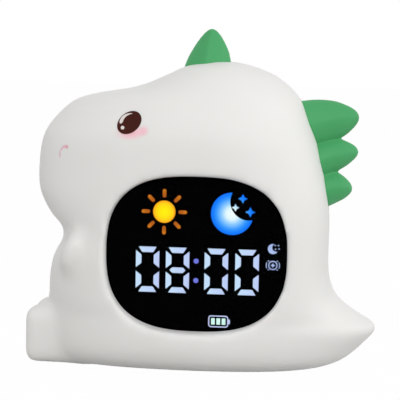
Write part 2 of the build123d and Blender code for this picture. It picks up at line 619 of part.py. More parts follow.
def screws(seat_y, shaft_y, places, name):
    """Small screws along Y: heads on the +Y side of seat_y, shafts to shaft_y."""
    with BuildPart() as group:
        with BuildSketch(front_plane(seat_y)):
            with Locations(*places):
                Circle(HEAD_RADIUS)
        extrude(amount=-HEAD_HEIGHT)
        with BuildSketch(front_plane(seat_y)):
            with Locations(*places):
                Circle(SCREW_RADIUS)
        extrude(amount=seat_y - shaft_y)
    save(group, name)


screws(DISPLAY_BOARD_BACK, DISPLAY_BOARD_FRONT - DISPLAY_SCREW_BITE, DISPLAY_SCREWS_AT, "display_screws")

# ---------------------------------------------------------------- drum housings


def boss_faces():
    """Round screw bosses with a rib to the drum's wall, in the open sketch."""
    for x, z in BOSSES_AT:
        with Locations((x, z)):
            Circle(BOSS_RADIUS)
        with Locations((x, z + math.copysign(3 * BOSS_RIB, z))):
            Rectangle(BOSS_RIB, 6 * BOSS_RIB)
    add(oval_sketch(DRUM_HALF), mode=Mode.INTERSECT)


def oval_sketch(half):
    """The same superellipse as a sketch of its own."""
    with BuildSketch() as oval:
        oval_face(half)
    return oval.sketch


def block_face():
    """Section of the block under the drum that takes the base screws, in the open sketch."""
    with Locations((0, -DRUM_HALF[1] - BLOCK_DROP)):
        Rectangle(2 * BLOCK_HALF_WIDTH, BLOCK_RISE, align=(Align.CENTER, Align.MIN))
    oval_cut = oval_sketch(BORE_HALF)
    add(oval_cut, mode=Mode.SUBTRACT)


def uprights(places, radius, bottom, top):
    """Upright round bars, taken away where screws and leads pass."""
    with BuildPart() as bars:
        with BuildSketch(level_plane(bottom)):
            with Locations(*places):
                Circle(radius)
        extrude(amount=top - bottom)
    return bars.part


with BuildPart() as front_housing:
    with BuildSketch(front_plane(LENS_FRONT)):
        oval_face(DRUM_HALF)
        add(oval_sketch(BORE_HALF), mode=Mode.SUBTRACT)
    extrude(amount=-(SPLIT - LENS_FRONT))
    with BuildSketch(front_plane(DISPLAY_BOARD_BACK)):
        boss_faces()
    extrude(amount=-(SPLIT - DISPLAY_BOARD_BACK))
    with BuildSketch(front_plane(-BLOCK_FAR)):
        block_face()
    extrude(amount=-(BLOCK_FAR - BLOCK_NEAR))
    with BuildSketch(front_plane(SPLIT)):
        with Locations(*BOSSES_AT):
            Circle(SCREW_RADIUS)
    extrude(amount=SCREW_BITE, mode=Mode.SUBTRACT)
    add(uprights(POSTS_AT, BASE_SCREW_RADIUS, BLOCK_BOTTOM, BASE_SCREW_TOP), mode=Mode.SUBTRACT)
    add(uprights(SADDLE_SCREWS_AT, SCREW_RADIUS, WINDOW_Z, SADDLE_TOP), mode=Mode.SUBTRACT)
save(front_housing, "front_housing")

with BuildPart() as rear_housing:
    with BuildSketch(front_plane(SPLIT)):
        oval_face(DRUM_HALF)
        add(oval_sketch(BORE_HALF), mode=Mode.SUBTRACT)
    extrude(amount=-(PANEL_INSIDE - SPLIT))
    with BuildSketch(front_plane(PANEL_INSIDE)):
        oval_face(DRUM_HALF)
    extrude(amount=-PANEL_THICK)
    with BuildSketch(front_plane(SPLIT)):
        boss_faces()
    extrude(amount=-(PANEL_INSIDE - SPLIT))
    with BuildSketch(front_plane(BLOCK_NEAR)):
        block_face()
    extrude(amount=-(BLOCK_FAR - BLOCK_NEAR))
    with BuildSketch(front_plane(PANEL_INSIDE)):
        with Locations(*STANDOFFS_AT):
            Circle(STANDOFF_RADIUS)
    extrude(amount=PANEL_INSIDE - MAIN_BOARD_BACK)
    with BuildSketch(front_plane(PANEL_INSIDE)):
        with Locations((0, SPEAKER_RISE)):
            Circle(SPEAKER_RADIUS + GAP + COLLAR_WALL)
            Circle(SPEAKER_RADIUS + GAP, mode=Mode.SUBTRACT)
    extrude(amount=COLLAR_DEPTH)
    with BuildSketch(front_plane(PANEL_INSIDE)):
        with Locations((0, SPEAKER_RISE)):
            Circle(GRILLE_HOLE)
            for ring, count in GRILLE_RINGS:
                with PolarLocations(ring, count):
                    Circle(GRILLE_HOLE)
        with Locations((0, KEY_DROP)):
            with GridLocations(KEY_PITCH, 0, len(KEY_NAMES), 1):
                Circle(KEY_RADIUS + SLIDE_GAP)
        with Locations((SOCKET_X, LOWER_ROW)):
            SlotOverall(SOCKET_WIDTH + 2 * SLIDE_GAP, SOCKET_HEIGHT + 2 * SLIDE_GAP)
        with Locations((SWITCH_X, LOWER_ROW)):
            Rectangle(KNOB_WIDTH + SWITCH_TRAVEL + 2 * SLIDE_GAP, KNOB_HEIGHT + 2 * SLIDE_GAP)
    extrude(amount=-PANEL_THICK, mode=Mode.SUBTRACT)
    with BuildSketch(front_plane(SPLIT)):
        with Locations(*BOSSES_AT):
            Circle(SCREW_RADIUS)
    extrude(amount=-SCREW_SEAT, mode=Mode.SUBTRACT)
    with BuildSketch(front_plane(SPLIT + SCREW_SEAT)):
        with Locations(*BOSSES_AT):
            Circle(SCREW_ACCESS)
    extrude(amount=-(PANEL_FACE - SPLIT - SCREW_SEAT), mode=Mode.SUBTRACT)
    with BuildSketch(front_plane(MAIN_BOARD_BACK)):
        with Locations(*STANDOFFS_AT):
            Circle(SCREW_RADIUS)
    extrude(amount=-(PANEL_INSIDE - MAIN_BOARD_BACK), mode=Mode.SUBTRACT)
    add(uprights(POSTS_AT, BASE_SCREW_RADIUS, BLOCK_BOTTOM, BASE_SCREW_TOP), mode=Mode.SUBTRACT)
    add(uprights(SADDLE_SCREWS_AT, SCREW_RADIUS, WINDOW_Z, SADDLE_TOP), mode=Mode.SUBTRACT)
    add(uprights([LAMP_LEAD_AT], LAMP_CABLE_HOLE, WINDOW_Z, SADDLE_TOP), mode=Mode.SUBTRACT)
save(rear_housing, "rear_housing")

screws(SPLIT + SCREW_SEAT, SPLIT - SCREW_BITE, BOSSES_AT, "housing_screws")

# ---------------------------------------------------------------- base
with BuildPart() as base_plate:
    with BuildSketch(level_plane(SKIN_FOOT)):
        plate_face(0)
    extrude(amount=SKIN_WALL)
    with BuildSketch(level_plane(PLATE_INSIDE)):
        plate_face(PLATE_FLANGE)
    extrude(amount=PLATE_FLANGE_THICK)
    with BuildSketch(level_plane(PLATE_TOP)):
        with Locations(*POSTS_AT):
            Circle(POST_RADIUS)
    extrude(amount=BLOCK_BOTTOM - PLATE_TOP)
    with BuildSketch(level_plane(SKIN_FOOT)):
        plate_face(-PAD_INSET)
    extrude(amount=PAD_THICK - SKIN_FOOT, mode=Mode.SUBTRACT)
    add(uprights(POSTS_AT, BASE_HEAD_RADIUS, PAD_THICK, PAD_THICK + BASE_HEAD_HEIGHT), mode=Mode.SUBTRACT)
    add(uprights(POSTS_AT, BASE_SCREW_RADIUS, PAD_THICK, BLOCK_BOTTOM), mode=Mode.SUBTRACT)
save(base_plate, "base_plate")

with BuildPart() as antislip_pad:
    with BuildSketch(level_plane(0)):
        plate_face(-PAD_INSET)
    extrude(amount=PAD_THICK)
save(antislip_pad, "antislip_pad")

with BuildPart() as base_screws:
    with BuildSketch(level_plane(PAD_THICK)):
        with Locations(*POSTS_AT):
            Circle(BASE_HEAD_RADIUS)
    extrude(amount=BASE_HEAD_HEIGHT)
    with BuildSketch(level_plane(PAD_THICK + BASE_HEAD_HEIGHT)):
        with Locations(*POSTS_AT):
            Circle(BASE_SCREW_RADIUS)
    extrude(amount=BASE_SCREW_TOP - PAD_THICK - BASE_HEAD_HEIGHT)
save(base_screws, "base_screws")

# ---------------------------------------------------------------- main board and what is on it
with BuildPart() as main_board:
    with BuildSketch(front_plane(MAIN_BOARD_FRONT)):
        hung = (Align.CENTER, Align.MAX)
        with Locations((0, MAIN_BOARD_TOP)):
            Rectangle(2 * MAIN_BOARD_WIDE, MAIN_BOARD_TOP - MAIN_BOARD_STEP, align=hung)
        with Locations((0, MAIN_BOARD_STEP)):
            Rectangle(2 * MAIN_BOARD_NARROW, MAIN_BOARD_STEP - MAIN_BOARD_LOW, align=hung)
        add(oval_sketch(BOARD_HALF), mode=Mode.INTERSECT)
        with Locations(*STANDOFFS_AT):
            Circle(SCREW_RADIUS, mode=Mode.SUBTRACT)
    extrude(amount=-BOARD_THICK)
save(main_board, "main_board")

with BuildPart() as board_screws:
    with BuildSketch(front_plane(MAIN_BOARD_FRONT)):
        with Locations(*STANDOFFS_AT):
            Circle(HEAD_RADIUS)
    extrude(amount=HEAD_HEIGHT)
    with BuildSketch(front_plane(MAIN_BOARD_FRONT)):
        with Locations(*STANDOFFS_AT):
            Circle(SCREW_RADIUS)
    extrude(amount=-(PANEL_INSIDE - MAIN_BOARD_FRONT))
save(board_screws, "board_screws")

with BuildPart() as tact_switches:
    with BuildSketch(front_plane(MAIN_BOARD_BACK)):
        with Locations((0, KEY_DROP)):
            with GridLocations(KEY_PITCH, 0, len(KEY_NAMES), 1):
                Rectangle(TACT_SIZE, TACT_SIZE)
    extrude(amount=-TACT_HEIGHT)
    with BuildSketch(front_plane(TACT_TOP)):
        with Locations((0, KEY_DROP)):
            with GridLocations(KEY_PITCH, 0, len(KEY_NAMES), 1):
                Circle(STEM_RADIUS + SLIDE_GAP)
    extrude(amount=WELL_DEPTH, mode=Mode.SUBTRACT)
save(tact_switches, "tact_switches")

for index, key_name in enumerate(KEY_NAMES):
    centre = ((index - (len(KEY_NAMES) - 1) / 2) * KEY_PITCH, KEY_DROP)
    with BuildPart() as key:
        with BuildSketch(front_plane(PANEL_FACE + KEY_PROUD)):
            with Locations(centre):
                Circle(KEY_RADIUS)
        extrude(amount=PANEL_FACE + KEY_PROUD - RIM_TOP)
        fillet(key.faces().sort_by(Axis.Y)[-1].edges(), KEY_PROUD / 2)
        with BuildSketch(front_plane(RIM_TOP)):
            with Locations(centre):
                Circle(KEY_RADIUS + KEY_RIM)
        extrude(amount=KEY_RIM_THICK)
        with BuildSketch(front_plane(RIM_BOTTOM)):
            with Locations(centre):
                Circle(STEM_RADIUS)
        extrude(amount=RIM_BOTTOM - TACT_TOP + STEM_ENTRY)
    save(key, f"key_{key_name}")

with BuildPart() as usb_socket:
    with BuildSketch(front_plane(MAIN_BOARD_BACK)):
        with Locations((SOCKET_X, LOWER_ROW)):
            SlotOverall(SOCKET_WIDTH, SOCKET_HEIGHT)
    extrude(amount=-(SOCKET_MOUTH - MAIN_BOARD_BACK))
    with BuildSketch(front_plane(SOCKET_MOUTH)):
        with Locations((SOCKET_X, LOWER_ROW)):
            SlotOverall(SOCKET_WIDTH - 2 * SOCKET_WALL, SOCKET_HEIGHT - 2 * SOCKET_WALL)
    extrude(amount=SOCKET_MOUTH - MAIN_BOARD_BACK - SOCKET_FLOOR, mode=Mode.SUBTRACT)
save(usb_socket, "usb_socket")

with BuildPart() as usb_tongue:
    with BuildSketch(front_plane(MAIN_BOARD_BACK + SOCKET_FLOOR)):
        with Locations((SOCKET_X, LOWER_ROW)):
            Rectangle(TONGUE_WIDTH, TONGUE_THICK)
    extrude(amount=-(SOCKET_MOUTH - TONGUE_SINK - MAIN_BOARD_BACK - SOCKET_FLOOR))
save(usb_tongue, "usb_tongue")

with BuildPart() as power_switch:
    with BuildSketch(front_plane(MAIN_BOARD_BACK)):
        with Locations((SWITCH_X, LOWER_ROW)):
            Rectangle(SWITCH_WIDTH, SWITCH_HEIGHT)
    extrude(amount=-TACT_HEIGHT)
    with BuildSketch(front_plane(TACT_TOP)):
        with Locations((SWITCH_X, LOWER_ROW)):
            Rectangle(KNOB_WIDTH + SWITCH_TRAVEL + 2 * SLIDE_GAP, KNOB_HEIGHT + 2 * SLIDE_GAP)
    extrude(amount=WELL_DEPTH, mode=Mode.SUBTRACT)
save(power_switch, "power_switch")

with BuildPart() as switch_knob:
    with BuildSketch(front_plane(PANEL_FACE + KNOB_PROUD)):
        with Locations((SWITCH_X - SWITCH_TRAVEL / 2, LOWER_ROW)):
            Rectangle(KNOB_WIDTH, KNOB_HEIGHT)
    extrude(amount=PANEL_FACE + KNOB_PROUD - TACT_TOP + KNOB_ENTRY)
    fillet(switch_knob.faces().sort_by(Axis.Y)[-1].edges(), KNOB_PROUD / 3)
save(switch_knob, "switch_knob")

with BuildPart() as control_chip:
    with BuildSketch(front_plane(MAIN_BOARD_FRONT)):
        with Locations(CHIP_AT):
            Rectangle(CHIP_SIDE, CHIP_SIDE)
    extrude(amount=CHIP_HEIGHT)
save(control_chip, "control_chip")

with BuildPart() as tap_sensor:
    with BuildSketch(front_plane(MAIN_BOARD_FRONT)):
        with Locations(SENSOR_AT):
            Circle(SENSOR_RADIUS)
    extrude(amount=SENSOR_LENGTH)
save(tap_sensor, "tap_sensor")

with BuildPart() as battery_plug:
    with BuildSketch(front_plane(MAIN_BOARD_FRONT)):
        with Locations(PLUG_AT):
            Rectangle(PLUG_WIDTH, PLUG_HEIGHT)
    extrude(amount=PLUG_DEPTH)
save(battery_plug, "battery_plug")

# ---------------------------------------------------------------- speaker
with BuildPart() as speaker_frame:
    with BuildSketch(front_plane(SPEAKER_FRONT)):
        with Locations((0, SPEAKER_RISE)):
            Circle(SPEAKER_RADIUS)
            Circle(SPEAKER_RADIUS - SPEAKER_EDGE, mode=Mode.SUBTRACT)
    extrude(amount=SPEAKER_DEPTH)
    with BuildSketch(front_plane(SPEAKER_REAR)):
        with Locations((0, SPEAKER_RISE)):
            Circle(SPEAKER_RADIUS)
            Circle(SPEAKER_PORT, mode=Mode.SUBTRACT)
    extrude(amount=SPEAKER_BACK)
save(speaker_frame, "speaker_frame")

with BuildPart() as speaker_magnet:
    with BuildSketch(front_plane(SPEAKER_REAR - SPEAKER_BACK)):
        with Locations((0, SPEAKER_RISE)):
            Circle(MAGNET_RADIUS)
    extrude(amount=MAGNET_LENGTH)
save(speaker_magnet, "speaker_magnet")

with BuildPart() as speaker_cone:
    cone_depth = SPEAKER_DEPTH - CONE_WALL
    rim = SPEAKER_RADIUS - SPEAKER_EDGE
    axis = front_plane(SPEAKER_FRONT - CONE_WALL - cone_depth / 2)
    with Locations(Plane(axis.from_local_coords((0, SPEAKER_RISE, 0)), axis.x_dir, (0, 1, 0))):
        Cone(CONE_THROAT, rim, cone_depth)
        Cone(CONE_THROAT - CONE_WALL, rim - 3 * CONE_WALL, cone_depth, mode=Mode.SUBTRACT)
save(speaker_cone, "speaker_cone")

# ---------------------------------------------------------------- battery
with BuildPart() as battery_cell:
    with Locations(Location((WINDOW_X, 0, WINDOW_Z + BATTERY_DROP), (0, 90, 0))):
        Cylinder(BATTERY_RADIUS, BATTERY_LENGTH)
    fillet(battery_cell.edges().filter_by(GeomType.CIRCLE), BATTERY_EDGE)
save(battery_cell, "battery_cell")

with BuildPart() as battery_cradle:
    with BuildSketch(front_plane(-CRADLE_DEPTH / 2)):
        with Locations((-CRADLE_RIB_AT, BATTERY_DROP), (CRADLE_RIB_AT, BATTERY_DROP)):
            Rectangle(CRADLE_RIB, BORE_HALF[1], align=(Align.CENTER, Align.MAX))
        with Locations((0, -BORE_HALF[1])):
            Rectangle(2 * CRADLE_RIB_AT, CRADLE_STRAP, align=(Align.CENTER, Align.MIN))
        add(oval_sketch(BORE_HALF), mode=Mode.INTERSECT)
    extrude(amount=-CRADLE_DEPTH)
    with Locations(Location((WINDOW_X, 0, WINDOW_Z + BATTERY_DROP), (0, 90, 0))):
        Cylinder(BATTERY_RADIUS, BATTERY_LENGTH, mode=Mode.SUBTRACT)
save(battery_cradle, "battery_cradle")


def cable(points, radius, name):
    """Round lead along straight runs joined by tangent arcs; points are (x, y, z) from the drum's axis."""
    world = [(WINDOW_X + x, y, WINDOW_Z + z) for x, y, z in points]
    with BuildPart() as lead:
        with BuildLine() as route:
            FilletPolyline(*world, radius=radius)
        with BuildSketch(Plane(origin=route.line @ 0, z_dir=route.line % 0)):
            Circle(CABLE_RADIUS)
        sweep()
    save(lead, name)


cable(
    [
        (BATTERY_LENGTH / 2, 0, BATTERY_DROP),
        (CABLE_SIDE, 0, BATTERY_DROP),
        (CABLE_SIDE, CABLE_DEPTH, PLUG_AT[1]),
        (PLUG_AT[0] + PLUG_WIDTH / 2, CABLE_DEPTH, PLUG_AT[1]),
    ],
    CABLE_BEND,
    "battery_cable",
)

cable(
    [
        (LAMP_CABLE_X, LAMP_CABLE_Y, SADDLE_TOP - WINDOW_Z),
        (LAMP_CABLE_X, LAMP_CABLE_Y, LAMP_CABLE_TOP),
        (LAMP_CABLE_X, CABLE_DEPTH + LAMP_CABLE_STEP, LAMP_CABLE_LOW),
        (LAMP_CABLE_X, CABLE_DEPTH + LAMP_CABLE_STEP, LAMP_CABLE_END),
    ],
    LAMP_CABLE_BEND,
    "lamp_cable",
)

with BuildPart() as display_ribbon:
    with BuildSketch(front_plane(DISPLAY_BOARD_BACK)):
        with Locations((0, RIBBON_DROP)):
            Rectangle(RIBBON_WIDTH, RIBBON_THICK)
    extrude(amount=-(MAIN_BOARD_FRONT - DISPLAY_BOARD_BACK))
save(display_ribbon, "display_ribbon")

# ---------------------------------------------------------------- night light
with BuildPart() as lamp_saddle:
    with BuildSketch(level_plane(SADDLE_TOP)):
        with Locations((WINDOW_X, 0)):
            RectangleRounded(SADDLE_SIDE, SADDLE_SIDE, SADDLE_CORNER)
    extrude(amount=-SADDLE_RISE - SADDLE_SKIRT)
    with BuildSketch(front_plane(-SADDLE_SIDE)):
        oval_face(DRUM_HALF)
    extrude(amount=-2 * SADDLE_SIDE, mode=Mode.SUBTRACT)
    add(uprights(SADDLE_SCREWS_AT, SCREW_RADIUS, WINDOW_Z, SADDLE_TOP), mode=Mode.SUBTRACT)
    add(uprights([LAMP_LEAD_AT], LAMP_CABLE_HOLE, WINDOW_Z, SADDLE_TOP), mode=Mode.SUBTRACT)
save(lamp_saddle, "lamp_saddle")

with BuildPart() as lamp_screws:
    with BuildSketch(level_plane(SADDLE_TOP)):
        with Locations(*SADDLE_SCREWS_AT):
            Circle(HEAD_RADIUS)
    extrude(amount=HEAD_HEIGHT)
    with BuildSketch(level_plane(SADDLE_TOP)):
        with Locations(*SADDLE_SCREWS_AT):
            Circle(SCREW_RADIUS)
    extrude(amount=-SADDLE_RISE - SADDLE_SKIRT)
save(lamp_screws, "lamp_screws")

with BuildPart() as lamp_board:
    with BuildSketch(level_plane(SADDLE_TOP)):
        with Locations((WINDOW_X, 0)):
            Circle(LAMP_BOARD_RADIUS)
    extrude(amount=BOARD_THICK)
save(lamp_board, "lamp_board")

with BuildPart() as lamp_leds:
    with BuildSketch(level_plane(LAMP_BOARD_TOP)):
        with Locations((WINDOW_X, 0)):
            Rectangle(LAMP_LED_SIZE, LAMP_LED_SIZE)
            with PolarLocations(LAMP_LED_CIRCLE, LAMP_LEDS):
                Rectangle(LAMP_LED_SIZE, LAMP_LED_SIZE)
    extrude(amount=LAMP_LED_HEIGHT)
save(lamp_leds, "lamp_leds")

with BuildPart() as lamp_diffuser:
    with Locations((WINDOW_X, 0, LAMP_BOARD_TOP)):
        Sphere(LAMP_RADIUS)
        Sphere(LAMP_RADIUS - LAMP_WALL, mode=Mode.SUBTRACT)
    split(bisect_by=level_plane(LAMP_BOARD_TOP), keep=Keep.TOP)
save(lamp_diffuser, "lamp_diffuser")
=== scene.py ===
"""Looks of a bedside alarm clock with a night light, in the shape of a sitting dinosaur.

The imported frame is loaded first. The silicone skin and its green spikes are modelled again as soft moulded
forms, the face is printed on both flanks, the rear panel gets its symbols, and every other part of the frame
is dressed in the finish of what it is made of. Lengths are in millimetres until a piece is finished.
"""

import json
import logging
import math
from collections.abc import Callable, Iterable, Sequence
from dataclasses import dataclass
from enum import Enum

import bmesh
import bpy
from mathutils import Matrix, Vector

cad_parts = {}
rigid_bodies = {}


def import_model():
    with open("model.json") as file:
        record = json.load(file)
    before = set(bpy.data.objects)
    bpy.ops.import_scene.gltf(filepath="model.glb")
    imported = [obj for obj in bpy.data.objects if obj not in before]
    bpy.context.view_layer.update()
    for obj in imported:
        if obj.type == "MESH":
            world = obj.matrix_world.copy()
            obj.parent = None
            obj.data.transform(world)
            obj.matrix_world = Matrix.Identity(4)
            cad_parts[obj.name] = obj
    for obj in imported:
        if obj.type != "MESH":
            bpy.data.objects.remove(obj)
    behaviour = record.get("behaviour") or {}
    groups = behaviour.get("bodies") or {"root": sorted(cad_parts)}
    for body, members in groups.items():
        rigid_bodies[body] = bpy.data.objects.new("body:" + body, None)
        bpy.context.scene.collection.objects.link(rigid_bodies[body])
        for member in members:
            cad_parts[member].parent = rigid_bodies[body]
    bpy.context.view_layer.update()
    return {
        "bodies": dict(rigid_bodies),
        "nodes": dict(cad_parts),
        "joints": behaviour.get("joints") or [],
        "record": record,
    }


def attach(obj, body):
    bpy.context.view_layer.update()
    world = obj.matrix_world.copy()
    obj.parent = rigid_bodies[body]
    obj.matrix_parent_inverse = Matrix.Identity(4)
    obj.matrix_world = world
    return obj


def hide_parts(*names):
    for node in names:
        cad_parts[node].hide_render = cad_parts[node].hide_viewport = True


MM = 0.001
LOG = logging.getLogger("clock")
WINDOW_AT = (2.4, 54.3)  # axis of the display window and of the rear window, in x and z
PANEL_FACE = 33.0  # depth of the rear panel's face
OUTSIDE = 60.0  # a depth that lies clear of both flanks
OVERLAP = 0.1  # by which one cutting tool reaches into the next, so that no film is left between them
Point = tuple[float, float]
Place = tuple[float, float, float]
Shaded = tuple[bpy.types.Material, bpy.types.NodeTree, bpy.types.Node]


# ---------------------------------------------------------------- colours and shader nodes
def linear(code: str, alpha: float = 1.0) -> tuple[float, float, float, float]:
    """Turns an sRGB hex colour into a linear one.

    Args:
        code: six hex digits.
        alpha: the fourth value of the result.

    Returns:
        Linear red, green, blue and alpha.
    """
    channels = [int(code[i : i + 2], 16) / 255 for i in (0, 2, 4)]
    red, green, blue = [c / 12.92 if c <= 0.04045 else ((c + 0.055) / 1.055) ** 2.4 for c in channels]
    return red, green, blue, alpha


def add_node(
    tree: bpy.types.NodeTree, kind: str, settings: dict | None = None, links: dict | None = None
) -> bpy.types.Node:
    """Adds a shader node with its settings and links.

    Args:
        tree: the material's node tree.
        kind: Blender's name of the node type.
        settings: properties and input values, by property name or by input name or number.
        links: what feeds each input, by input name or number.

    Returns:
        The new node.
    """
    node = tree.nodes.new(kind)
    for name, value in (settings or {}).items():
        if isinstance(name, str) and hasattr(node, name):
            setattr(node, name, value)
        else:
            node.inputs[name].default_value = value
    for name, source in (links or {}).items():
        tree.links.new(source, node.inputs[name])
    return node


def fill_ramp(ramp: bpy.types.ColorRamp, stops: Sequence[tuple[float, str]]) -> None:
    """Sets a colour ramp's stops.

    Args:
        ramp: the ramp, which holds two stops as it is made.
        stops: place and hex colour of each stop, from low to high.
    """
    while len(ramp.elements) < len(stops):
        ramp.elements.new(0.5)
    for element, (place, code) in zip(ramp.elements, stops):
        element.position = place
        element.color = linear(code)


def new_material(name: str, **shader: object) -> Shaded:
    """Makes a material with only a Principled shader.

    Args:
        name: the material's name.
        shader: values of the shader's inputs, with underscores for spaces.

    Returns:
        The material, its node tree and its Principled shader.
    """
    material = bpy.data.materials.new(name)
    material.use_nodes = True
    tree = material.node_tree
    principled = tree.nodes["Principled BSDF"]
    for key, value in shader.items():
        principled.inputs[key.replace("_", " ")].default_value = value
    return material, tree, principled


def grain(
    tree: bpy.types.NodeTree, pitch: float, detail: float = 2.0, stretch: Place = (1, 1, 1)
) -> bpy.types.NodeSocket:
    """Adds a noise whose grains have a real size.

    Args:
        tree: the material's node tree.
        pitch: size of one grain in millimetres.
        detail: octaves of the noise.
        stretch: scale of the pattern along each axis.

    Returns:
        The noise's value socket.
    """
    place = add_node(tree, "ShaderNodeTexCoord")
    turned = add_node(tree, "ShaderNodeMapping", {"Scale": stretch}, {"Vector": place.outputs["Object"]})
    noise = add_node(
        tree,
        "ShaderNodeTexNoise",
        {"Scale": 1 / (pitch * MM), "Detail": detail},
        {"Vector": turned.outputs["Vector"]},
    )
    return noise.outputs["Fac"]


def emboss(
    tree: bpy.types.NodeTree,
    shader: bpy.types.Node,
    height: bpy.types.NodeSocket,
    depth: float,
    strength: float,
) -> None:
    """Bumps a shader by a height.

    Args:
        tree: the material's node tree.
        shader: the shader that gets the bump.
        height: the socket that gives the height.
        depth: full height in millimetres.
        strength: share of the effect.
    """
    bump = add_node(
        tree, "ShaderNodeBump", {"Strength": strength, "Distance": depth * MM}, {"Height": height}
    )
    tree.links.new(bump.outputs["Normal"], shader.inputs["Normal"])


def vary(
    tree: bpy.types.NodeTree, shader: bpy.types.Node, source: bpy.types.NodeSocket, low: str, high: str
) -> None:
    """Drives a shader's base colour between two hex colours.

    Args:
        tree: the material's node tree.
        shader: the shader that gets the colour.
        source: the value that picks the colour.
        low: colour where the value is low.
        high: colour where the value is high.
    """
    ramp = add_node(tree, "ShaderNodeValToRGB", links={"Fac": source})
    fill_ramp(ramp.color_ramp, [(0.3, low), (0.7, high)])
    tree.links.new(ramp.outputs["Color"], shader.inputs["Base Color"])


def offset_from(
    tree: bpy.types.NodeTree, centre: Point, reach: Point = (1.0, 1.0), turn: float = 0.0
) -> bpy.types.NodeSocket:
    """Adds how far each place lies from a point in the side view.

    Args:
        tree: the material's node tree.
        centre: x and z of the point, in millimetres.
        reach: what counts as one along x and along z, in millimetres.
        turn: angle of the first of these from level, in degrees.

    Returns:
        The offset, without depth.
    """
    place = add_node(tree, "ShaderNodeTexCoord")
    moved = add_node(
        tree,
        "ShaderNodeMapping",
        {
            "vector_type": "TEXTURE",
            "Location": (centre[0] * MM, 0, centre[1] * MM),
            "Rotation": (0, math.radians(-turn), 0),
        },
        {"Vector": place.outputs["Object"]},
    )
    flat = add_node(
        tree,
        "ShaderNodeVectorMath",
        {"operation": "MULTIPLY", 1: (1 / (reach[0] * MM), 0, 1 / (reach[1] * MM))},
        {0: moved.outputs["Vector"]},
    )
    return flat.outputs["Vector"]


# ---------------------------------------------------------------- finishes
@dataclass(frozen=True)
class Blush:
    """A soft airbrushed spot on the silicone, seen from the side.

    Attributes:
        centre: place in x and z.
        reach: half length and half height.
        turn: angle of its long side from level, in degrees.
        colour: hex colour in its middle.
        strength: share of the colour in its middle.
    """

    centre: Point
    reach: Point
    turn: float
    colour: str
    strength: float


@dataclass(frozen=True)
class Silicone:
    """Liquid silicone rubber, moulded: soft, a little translucent, with a dull bloom and a fine satin grain.

    Attributes:
        name: the material's name.
        colour: hex colour of the thick walls.
        deep: hex colour where it is a little darker.
        scatter: how far light travels inside, in millimetres.
        blushes: airbrushed spots.
    """

    name: str
    colour: str
    deep: str
    scatter: float
    blushes: tuple[Blush, ...] = ()

    def make(self) -> bpy.types.Material:
        """Returns the material."""
        material, tree, shader = new_material(
            self.name,
            Roughness=0.52,
            IOR=1.41,
            Specular_IOR_Level=0.35,
            Subsurface_Weight=0.22,
            Subsurface_Radius=(1.0, 0.86, 0.78),
            Subsurface_Scale=self.scatter * MM,
            Sheen_Weight=0.08,
            Sheen_Roughness=0.5,
        )
        clouds = grain(tree, pitch=38.0)
        ramp = add_node(tree, "ShaderNodeValToRGB", links={"Fac": clouds})
        fill_ramp(ramp.color_ramp, [(0.25, self.deep), (0.75, self.colour)])
        colour = ramp.outputs["Color"]
        for blush in self.blushes:
            colour = self._airbrush(tree, colour, blush)
        tree.links.new(colour, shader.inputs["Base Color"])
        emboss(tree, shader, grain(tree, pitch=0.6, detail=3.0), depth=0.05, strength=0.25)
        return material

    def _airbrush(
        self, tree: bpy.types.NodeTree, under: bpy.types.NodeSocket, blush: Blush
    ) -> bpy.types.NodeSocket:
        """Lays one airbrushed spot over a colour.

        Args:
            tree: the material's node tree.
            under: the colour below.
            blush: the spot.

        Returns:
            The colour with the spot on it.
        """
        offset = offset_from(tree, blush.centre, blush.reach, blush.turn)
        distance = add_node(tree, "ShaderNodeVectorMath", {"operation": "LENGTH"}, {0: offset})
        fade = add_node(
            tree,
            "ShaderNodeMapRange",
            {"interpolation_type": "SMOOTHERSTEP", "To Min": blush.strength, "To Max": 0.0},
            {"Value": distance.outputs["Value"]},
        )
        mixed = add_node(
            tree,
            "ShaderNodeMix",
            {"data_type": "RGBA", 7: linear(blush.colour)},
            {0: fade.outputs["Result"], 6: under},
        )
        return mixed.outputs[2]


@dataclass(frozen=True)
class Moulded:
    """Moulded plastic with the fine spark-eroded grain of its tool, or a print or film with a finer one.

    Attributes:
        name: the material's name.
        low: hex colour of the darker patches.
        high: hex colour of the lighter patches.
        roughness: of the surface.
        pitch: size of the grain in millimetres. The real one is about 0.1, too fine to show.
        depth: height of the grain in millimetres.
        gloss: level of the mirror-like share.
    """

    name: str
    low: str
    high: str
    roughness: float = 0.42
    pitch: float = 0.5
    depth: float = 0.03
    gloss: float = 0.5

    def make(self) -> bpy.types.Material:
        """Returns the material."""
        material, tree, shader = new_material(
            self.name, Roughness=self.roughness, IOR=1.53, Specular_IOR_Level=self.gloss
        )
        vary(tree, shader, grain(tree, pitch=9.0), self.low, self.high)
        emboss(tree, shader, grain(tree, self.pitch, detail=3.0), self.depth, strength=0.3)
        return material


@dataclass(frozen=True)
class Metal:
    """Sheet or turned metal with fine marks along one axis.

    Attributes:
        name: the material's name.
        low: hex colour of the darker marks.
        high: hex colour of the lighter marks.
        roughness: of the surface.
        stretch: how the marks are drawn out along each axis.
    """

    name: str
    low: str
    high: str
    roughness: float = 0.3
    stretch: Place = (1.0, 0.08, 1.0)

    def make(self) -> bpy.types.Material:
        """Returns the material."""
        material, tree, shader = new_material(self.name, Roughness=self.roughness, Metallic=1.0)
        marks = grain(tree, pitch=0.4, detail=2.0, stretch=self.stretch)
        vary(tree, shader, marks, self.low, self.high)
        emboss(tree, shader, marks, depth=0.01, strength=0.2)
        return material


